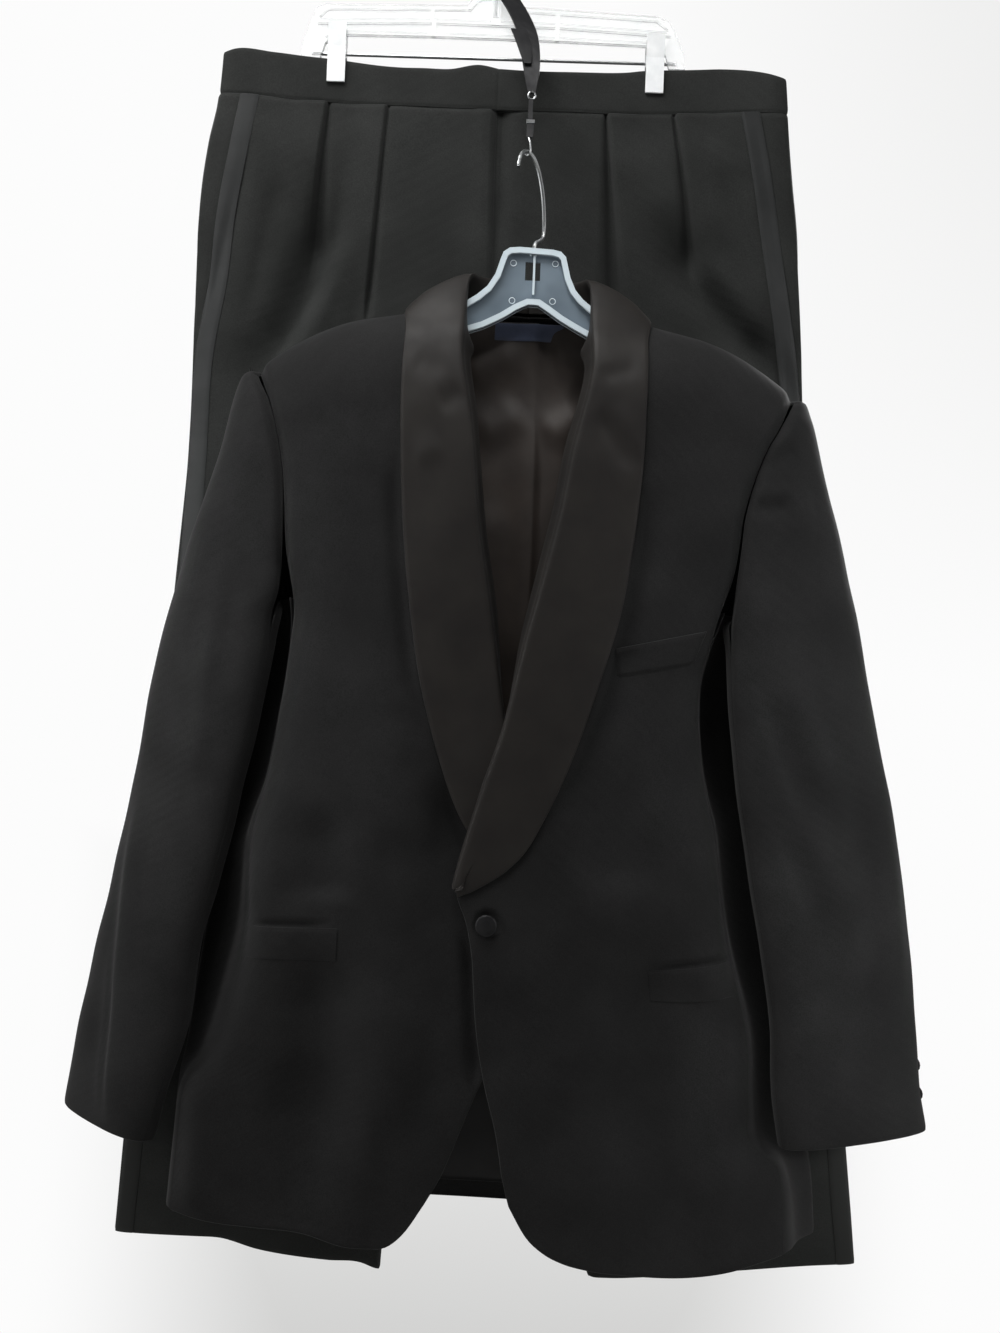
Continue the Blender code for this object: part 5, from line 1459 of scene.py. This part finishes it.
# up each lapel, from its lower tip to the side of the neck: its roll and its outer edge
lapelTables = {
    -1: readTable("""
        station crestX crestZ edgeX edgeZ
        0       10.4   -884   11    -892
        1       7.4    -850   -12   -868
        2       -2.5   -790   -40   -838
        3       -11.5  -741   -62   -786
        4       -25.2  -662   -83   -712
        5       -37.8  -590   -95   -640
        6       -43    -546   -100  -600
        7       -47.5  -506   -104  -556
        8       -52.4  -474   -106.5 -514
        9       -57.8  -446   -108  -474
        10      -60.5  -425   -108  -440
        11      -60    -404   -107  -408
    """),
    1: readTable("""
        station crestX crestZ edgeX edgeZ
        0       -43.4  -893   -42   -900
        1       -40.2  -878   -22   -890
        2       -32.4  -848   12    -862
        3       -19    -800   45    -795
        4       -5     -752   67    -730
        5       12.4   -672   88    -655
        6       29     -604   96    -602
        7       38.2   -560   101   -556
        8       47.6   -504   104   -513
        9       60     -448   104.5 -472
        10      61     -425   105   -442
        11      60     -404   105   -410
    """),
}
# from the side of the neck to the centre back: the roll, the outer edge and the neck seam
neckRows = readRows("""
    crestX crestY crestZ edgeX edgeY edgeZ seamX seamY seamZ
    54     -70    -353   108   -73   -384  74    -71   -379
    42     -47    -347   76    -38   -395  53    -53   -377
    20     -36    -345   36    -29   -396  26    -46   -376
    0.5    -34    -344   0.5   -28   -396  0.5   -42.5 -376
""")
lapelShape = {
    "shares": (0.0, 0.35, 0.7),    # places of the first points between the edge and the roll
    "least": 14.0,                 # a narrower lapel takes its direction from its side
    "besideRoll": 6.0,             # how far the last point before the roll is from it
    # each point's height over the front, and how far the last four reach past the roll; the
    # second number is added where the collar turns back into the jacket
    "lifts": ((3.4, 0), (4.0, 0), (4.7, 0), (5.0, 0), (4.4, 0), (0.2, 0), (-6, -4), (-7, -16)),
    "reaches": ((2.4, 0), (4.6, 0), (4.4, 2.2), (3.0, 8.5)),
    "turned": (-640, -760),        # it is turned in fully above the first height
}
neckShape = {
    # places between the edge and the roll, and how far the collar bulges there
    "leaf": ((0.0, 0.0), (0.33, 0.1), (0.66, 0.12), (0.88, 0.08), (0.97, 0.03)),
    "stand": 0.22, "standBack": 2.4,
}


def lapelSection(row, side):
    crestX, crestZ, edgeX, edgeZ = row
    edge, crest = np.array((edgeX, edgeZ)), np.array((crestX, crestZ))
    width = np.linalg.norm(crest - edge)
    toward = (crest - edge) / width if width >= lapelShape["least"] else np.array((-side, 0.0))
    beside = min(lapelShape["besideRoll"], 0.4 * max(width, lapelShape["least"]))
    places = spaced(edge, crest, lapelShape["shares"])
    places += [crest - toward * beside] + [crest] * 4
    # past its roll the collar turns straight back into the jacket, deeper where it stands open
    turned = 1 - blend(*lapelShape["turned"], crestZ)
    points = [frontPoint(*place, side, lift + more * turned)
              for place, (lift, more) in zip(places, lapelShape["lifts"])]
    for point, (reach, more) in zip(points[4:], lapelShape["reaches"]):
        point[0] += toward[0] * (reach + more * turned)
        point[2] += toward[1] * (reach + more * turned)
    return points


def neckSection(row, side):
    crest, edge, seam = np.array(row).reshape(3, 3)
    outward = edge - crest
    outward[2] = 0.0
    outward /= np.linalg.norm(outward)
    if row[0] < 1:
        outward = np.array((0.0, 1.0, 0.0))
    swell = (outward + np.array((0.0, 0.0, 1.0))) / math.sqrt(2)
    width = np.linalg.norm(edge - crest)
    leaf = [edge + (crest - edge) * share + swell * width * bulge
            for share, bulge in neckShape["leaf"]]
    inner = crest + (seam - crest) * neckShape["stand"] - outward * neckShape["standBack"]
    points = leaf + [crest, inner, seam]
    for point in points:
        point[2] += shoulderTilt * point[0] * side
        point[0] *= side
    return points


collarCloth = {
    "grid": (2.8, 3.8), "thickness": 1.6, "finish": "lapelSatin",
    "swell": (0.35, 40), "borders": ("edge", (0.4, 0.4, 3.0), "edge", None),
    "cut": {"left": (0.11, 0.69, 0.053), "right": (0.11, 0.71, 0.055)},
}
collarFolds = {
    -1: """
        height width route
        -1.8 9/12   -77 -476  -66 -470  -54 -459
        1.6  10/12  -96 -520  -84 -516  -70 -506
        -1.6 12/12  -100 -432  -84 -440  -66 -436
        """,
    1: """
        height width route
        -2.6 9/12   62 -470  80 -500  96 -530
        2.2  10/10  74 -466  92 -494  106 -520
        -1.8 8/8    60 -446  80 -440  100 -436
        """,
}


def makeCollar(word, side):
    table = lapelTables[side]
    columns = list(table)[1:]
    sections = [lapelSection([table[c][i] for c in columns], side)
                for i in range(len(table["station"]))]
    sections += [neckSection(row, side) for row in neckRows]
    sections = [np.array(section) for section in sections]
    lapel, last = len(table["station"]) - 1, len(sections) - 1
    stations = [0.0, 0.15, 0.3, 0.6, 1.0, 1.5, 2.0, 2.5] + [i / 2 for i in range(6, 2 * lapel)]
    stations += [lapel + d for d in (0, 0.33, 0.66, 1, 1.33, 1.66, 2, 2.5, 3, 3.5, 4)]
    places = [0, 0.5, 1, 1.5, 2, 2.4, 2.8, 3.2, 3.6, 4, 4.25, 4.5, 4.75, 5, 5.25, 5.5, 6, 6.5, 7]
    grid = gridOf(lambda u, v: spline(list(spline(sections, v)), u), lambda v: places,
                  [min(station, last - 2e-3) for station in stations], -side)
    return makePanel(f"collar_{word}", f"shawl_collar_{word}", grid,
                     {**collarCloth, "hangs": [f"front_{word}", f"back_{word}"]},
                     jacketX, reliefOf(collarFolds[side]))


for word, side in bothSides:
    makeCollar(word, side)
print("collar made")


# the legs by level: the outer silhouette, the side seam on the front, and each leg's inner edge
legTables = {
    -1: readTable("""
        level outer seam inner
        -1256 -315  -314 -64
        -1154 -309  -307 -58
        -1000 -300  -298 -48
        -800  -289  -287 -32
        -600  -279  -277 -10
        -520  -274  -273 1
        -455  -273  -272 11
        -385  -273  -267 12
        -363  -273  -261 12
        -319  -273  -257 12
        -274  -271  -253 12
        -224  -265  -244 11
        -187  -258  -237 10
        -130  -254  -234 10
    """),
    1: readTable("""
        level outer seam inner
        -1256 382   381  131
        -1154 370   369  108
        -1000 355   354  78
        -800  336   335  46
        -600  317   316  22
        -520  309   308  14
        -455  303   302  12
        -385  298   290  12
        -333  294   281  12
        -291  291   273  12
        -245  285   265  11
        -210  281   257  10
        -187  279   251  10
        -130  273   248  10
    """),
}
bandTopTable = readTable("""
    x    z
    -254 -133
    -240 -130
    -204 -133
    -150 -137
    -75  -144
    -28  -144
    -14  -139
    1    -142
    47   -143
    115  -140
    150  -136
    240  -133
    274  -138
""")
centreSeamTable = readTable("""
    z    x
    -455 11.6
    -385 8
    -300 5
    -220 4
    -140 4.5
""")
legHemTable = readTable("""
    x    z
    -316 -1243
    -221 -1243
    -178 -1253
    -140 -1259
    -79  -1263
    -63  -1270
    130  -1269
    250  -1258
    353  -1248
    382  -1247
""")
pleats = readRows("""
    x0   x1   end  depth groove wide
    -155 -169 -345 4.0   8.5    6.0
    -99  -113 -400 3.0   6.0    1.2
    108  132  -400 3.0   12.0   8.0
    172  203  -335 4.0   8.5    5.0
""")
crotch = -455.0
legTop = -180.0
legBottom = -1256.0
legSquare = 3.2        # how boxy the flattened leg is
closing = (-12, 25)    # the legs join between these heights from the crotch
# the clips press the waist flat, less so farther from each clip and down the leg
clipPress = {"leg": 5.0, "band": 5.4, "across": (90, 20), "down": (-230, -180)}
bandStand = 0.4        # the waistband stands this far off the legs' tops
# half width of a pleat's fold, how far its lap reaches, and its groove's least width
pleatShape = {"soft": 2.5, "spread": 34, "cleft": 1.5}


def legHeight(x, level):
    if level > crotch:
        share = (level - crotch) / (legTop - crotch)
        return level + (waistSeam(x) - legTop) * share
    share = ((crotch - level) / (crotch - legBottom)) ** 2
    return level + (read(legHemTable, "z", x) - legBottom) * share


def waistSeam(x):
    return waistZ + waistRise * x * x


def innerEdge(level, table):
    if level >= crotch:
        return read(centreSeamTable, "x", level)
    return read(table, "inner", level)


def legPoint(turn, level, side):
    table = legTables[side]
    outer, inner = read(table, "outer", level), innerEdge(level, table)
    across, deep = squared(math.pi * turn, legSquare)
    if across < 0:
        closed = 1 - blend(crotch + closing[0], crotch + closing[1], level)
        full = 1.0 if turn < 1 else -1.0
        deep = closed * deep + (1 - closed) * full
    x = (outer + inner) / 2 + (outer - inner) / 2 * across
    press = blend(*clipPress["down"], level) * blend(*clipPress["across"], abs(abs(x) - clipX))
    half = trouserHalf - clipPress["leg"] * press
    return np.array((x, -half * deep, legHeight(x, level)))


def legSurface(side):
    return lambda turn, level: legPoint(turn, level, side)


def turnAt(x, level, side):
    return solve(lambda t: side * legPoint(t, level, side)[0], side * x, 0.001, 0.999)


def pleatRelief(points):
    # each pleat laps towards the fly: proud on its outer side, falling sharply at its fold
    x, z = points[..., 0], points[..., 2]
    height = np.zeros_like(x)
    soft, spread = pleatShape["soft"], pleatShape["spread"]
    for x0, x1, end, depth, groove, wide in pleats:
        share = np.clip((z - legTop) / (end - legTop), 0, 1)
        beyond = (x - x0 - (x1 - x0) * share) * math.copysign(1, x0)
        shape = soften(-soft, soft, beyond) * (1 - soften(soft, spread, beyond))
        width = pleatShape["cleft"] + wide * share
        off = np.maximum(np.abs(beyond + 0.8 * width) - 0.4 * wide * share, 0)
        cleft = np.exp(-(off / width) ** 2)
        height += depth * shape * (1 - share) ** 0.8
        height -= groove * cleft * (0.4 + 0.6 * share) * (1 - soften(0.75, 1.0, share))
    return height


trouserCloth = {
    "grid": (3.6, 5.1), "thickness": 1.3, "finish": "trouserWool",
    "swell": (0, 70), "borders": ((0.6, 0.6, 2.6), (0.4, 0.4, 2.6), (1.0, 1.0, 2.0), "edge"),
    "cut": {"left": (0.29, 1.10, 0.284), "right": (0.30, 1.10, 0.308)},
}
trouserFolds = {
    -1: """
        height width route
        -15  28/13  -141 -215  -145 -290  -157 -335  -176 -378  -200 -425  -222 -500
        4.0  12/14  -142 -300  -150 -350  -168 -410
        -3.5 10/14  -196 -235  -210 -320  -226 -404
        -3.0 10/12  -114 -330  -122 -400  -130 -500
        -2.4 6/8    -222 -189  -234 -259  -249 -328  -258 -382
        -4.5 4/8    1 -130  3 -143  5 -177  7 -250  9 -330  10 -420
        2.0  9/9    -8 -130  -7 -177  -4 -307  -2 -420
        -6.0 20/26  -150 -760  -156 -900  -160 -1060
        3.6  24/30  -210 -820  -218 -960  -222 -1130
        """,
    1: """
        height width route
        -15  22/16  170 -250  181 -297  195 -330  232 -371  270 -412  302 -470
        4.5  16/14  196 -300  230 -350  268 -400
        -3.6 10/10  214 -225  236 -285  262 -345
        -3.0 10/12  134 -340  142 -420  152 -520
        -2.4 8/6    243 -176  262 -248  282 -362
        -4.5 4/8    1 -130  3 -143  5 -177  7 -250  9 -330  10 -420
        -2.5 4/14   8 -143  12 -220  14 -300
        1.6  10/10  198 -200  221 -222  244 -225
        -6.0 20/26  200 -760  206 -900  212 -1060
        3.6  24/30  262 -820  270 -960  276 -1130
        """,
}


def trouserRelief(side):
    folds = readFolds(trouserFolds[side])
    return lambda points: (foldHeight(points, folds) + pleatRelief(points)
                           + 0.45 * unevenness(points, 70, 31 + side))


trouserBackFolds = {
    -1: """
        height width route
        4.5  20/32  -92 -330  -126 -480  -160 -740  -196 -1060
        3.4  22/24  -214 -240  -228 -420  -256 -640  -286 -880
        -2.2 16/24  -158 -420  -190 -620  -222 -840  -250 -1060
        2.8  12/20  -14 -316  -44 -392  -88 -446  -136 -478
        -1.8 12/18  -50 -236  -74 -320  -106 -372
        """,
    1: """
        height width route
        4.5  32/20  104 -340  134 -500  172 -760  214 -1080
        3.2  24/22  226 -250  242 -430  272 -660  304 -900
        -2.2 24/16  170 -400  200 -600  236 -830  268 -1050
        2.8  20/12  28 -320  58 -400  100 -452  150 -480
        -1.8 18/12  62 -240  84 -330  116 -384
        """,
}


def makeLeg(word, side):
    table = legTables[side]
    # rows stand closer at the pleats and the crotch
    levels = between([legTop, -205, -235, -270, -310, -350, -395, -435, -467, -520, -620, -740,
                      -860, -980, -1090, -1180, legBottom])

    def centreTurn(level):
        # the centre seam above the crotch stands half a seam gap from the other leg
        return turnAt(innerEdge(level, table) + side * seamGap / 2, level, side)

    inner, seam = innerEdge(legTop, table), read(table, "seam", legTop)

    def frontColumns(level):
        # columns stand close at the folds of the pleats and spread with the leg below them
        first = centreTurn(level) if level > crotch else 0.03
        last = turnAt(read(table, "seam", level) - side * seamGap / 2, level, side)
        share = min(1.0, max(0.0, (legTop - level) / 190))
        fall = blend(0.1, 0.9, (legTop - level) / (legTop - legBottom))
        centre = (read(table, "outer", level) + innerEdge(level, table)) / 2
        turns = [first, last]
        for x0, x1, *_ in pleats:
            if x0 * side > 0:
                fold = x0 + (x1 - x0) * share + (centre - (seam + inner) / 2) * fall
                turns += [turnAt(fold + side * d, level, side)
                          for d in (-12, -5, -2.6, -1.2, 0.2, 1.6, 4, 9, 16, 26, 36)]
        turns = sorted(turns)
        return sorted(turns + spaced(turns[0], turns[1], [0.15, 0.4, 0.7])
                      + spaced(turns[-1], turns[-2], [0.1, 0.3, 0.6]))

    def backColumns(level):
        first = turnAt(read(table, "seam", level) + side * seamGap / 2, level, side)
        last = 2 - centreTurn(level) if level > crotch else 2 + 0.03 - 0.002
        return spaced(first, last, [0, 0.03, 0.06, 0.09, 0.15, 0.22, 0.38, 0.54, 0.7, 0.84,
                                    0.9, 0.94, 0.97, 1])

    hangs = [f"band_{word}"]
    makePanel(f"trouser_panel_front_{word}", f"trouser_front_{word}",
              gridOf(legSurface(side), frontColumns, levels, side), {**trouserCloth, "hangs": hangs},
              0.0, trouserRelief(side))
    makePanel(f"trouser_panel_back_{word}", f"trouser_back_{word}",
              gridOf(legSurface(side), backColumns, levels, side),
              {**trouserCloth, "grid": (5.5, 6.5), "hangs": hangs,
               "cut": {"left": (0.31, 1.12, 0.301), "right": (0.32, 1.13, 0.323)},
               "swell": (0.6, 70)}, 0.0, reliefOf(trouserBackFolds[side]))


stripeCloth = {
    "grid": (2.2, 5.0), "thickness": 0.8, "finish": "stripeSatin",
    "swell": (0, 60), "borders": ("edge", "edge", None, "edge"),
    "cut": {"left": (0.019, 1.08, 0.0201), "right": (0.019, 1.09, 0.0203)},
    "width": 17.0, "lift": 1.1,
}


def makeStripe(word, side):
    # the satin stripe lies on the front panel, its outer edge on the side seam
    table = legTables[side]
    levels = [legTop, -235, -290, -350, -420, -520, -680, -860, -1040, -1180, legBottom]

    def columns(level):
        outer = read(table, "seam", level) - side * 0.6
        first = turnAt(outer - side * stripeCloth["width"], level, side)
        last = turnAt(outer, level, side)
        return spaced(first, last, even(4))

    points, normals = gridOf(legSurface(side), columns, levels, side)
    makePanel(f"stripe_{word}", f"side_stripe_{word}",
              (points + normals * stripeCloth["lift"], normals),
              {**stripeCloth, "hangs": [f"trouser_panel_front_{word}"]}, 0.0,
              trouserRelief(side))


bandCloth = {
    "grid": (3.4, 2.4), "thickness": 1.8, "finish": "trouserWool",
    "swell": (0.25, 60), "borders": ("edge", (0.6, 0.6, 2.6), "edge", (0.7, 0.7, 2.0)),
    "hangs": ["clip_left", "clip_right"],
    "cut": {"left": (0.54, 0.043, 0.0217), "right": (0.56, 0.042, 0.0223)},
}


def makeWaistband(word, side):
    # one half of the waistband, from the fly round the side to the centre back
    table = legTables[side]
    centre = 4.5

    def bandPoint(turn, v):
        outer = read(table, "outer", -150 - 30 * v)
        across, deep = squared(math.pi * turn, legSquare)
        x = centre + (outer - centre) * across
        press = blend(*clipPress["across"], abs(abs(x) - clipX))
        half = trouserHalf + bandStand - clipPress["band"] * press
        top, seam = read(bandTopTable, "z", x), waistSeam(x) + seamGap * 2
        return np.array((x, -half * deep, (1 - v) * top + v * seam))

    def turnFor(distance):
        return solve(lambda t: side * bandPoint(t, 0)[0], side * centre + distance, 0.5, 1.0)

    width = abs(read(table, "outer", -150) - centre)
    distances = [seamGap / 2, 17, 46, 70, 90, 105, 120, 134, 150, 165, 185, 210, width - 8,
                 width - 3, width - 1]
    turns = [turnFor(d) for d in distances] + [1.0]
    turns += [2 - t for t in reversed(turns[:-1])]
    makePanel(f"band_{word}", f"waistband_{word}",
              gridOf(bandPoint, lambda v: turns, [0.0, 0.25, 0.5, 0.75, 1.0], -side), bandCloth)


for word, side in bothSides:
    makeWaistband(word, side)
    makeLeg(word, side)
    makeStripe(word, side)
print("trousers made")


# beads round the moulded hanger's four bosses, and the post seen in its slot
hangerMarks = {
    "segments": (28, 8),
    "bosses": [(-15.3, -338.5), (22.3, -337.9), (-15.4, -372.1), (20.9, -371.6)],
    "radius": 2.6, "bead": 0.55, "face": -73.6,
    "post": (2.4, 4.4, -331.5, -366.5, -76.0, -73.0),     # x, z and y limits
}


def makeHangerMarks():
    parts = []
    around, across = hangerMarks["segments"]
    for x, z in hangerMarks["bosses"]:
        bpy.ops.mesh.primitive_torus_add(
            major_segments=around, minor_segments=across, major_radius=hangerMarks["radius"] * mm,
            minor_radius=hangerMarks["bead"] * mm, rotation=(math.radians(90), 0, 0),
            location=((x + jacketX) * mm, hangerMarks["face"] * mm, z * mm))
        parts.append(bpy.context.object)
    x0, x1, z0, z1, y0, y1 = hangerMarks["post"]
    bpy.ops.mesh.primitive_cube_add(
        size=1.0, location=(((x0 + x1) / 2 + jacketX) * mm, (y0 + y1) / 2 * mm,
                            (z0 + z1) / 2 * mm))
    post = bpy.context.object
    post.scale = ((x1 - x0) * mm, (y1 - y0) * mm, (z0 - z1) * mm)
    parts.append(post)
    bpy.ops.object.select_all(action="DESELECT")
    for part in parts:
        part.select_set(True)
    bpy.context.view_layer.objects.active = post
    bpy.ops.object.transform_apply(location=True, rotation=True, scale=True)
    bpy.ops.object.join()
    post.name = "hanger_marks"
    post.data.materials.append(finishes["smoke"])
    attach(post, "root")


makeHangerMarks()

# buttons, hangers and strap keep their solids, with their own finishes
solidFinishes = {
    "trimSatin": ["front_button", "cuff_button_left_1", "cuff_button_left_2",
                  "cuff_button_right_1", "cuff_button_right_2", "strap_band", "strap_flap",
                  "strap_tape", "strap_end"],
    "zinc": ["jacket_hanger_hook", "clip_hanger_hook", "clip_rod", "strap_ring",
             "strap_slider", "strap_clasp"],
    "smoke": ["jacket_hanger"],
    "clear": ["clip_hanger"],
    "milky": ["clip_left", "clip_right"],
}
for finish, nodes in solidFinishes.items():
    for node in nodes:
        for slot in bpy.data.objects[node].material_slots:
            slot.material = finishes[finish]
print("buttons, hangers and strap finished")
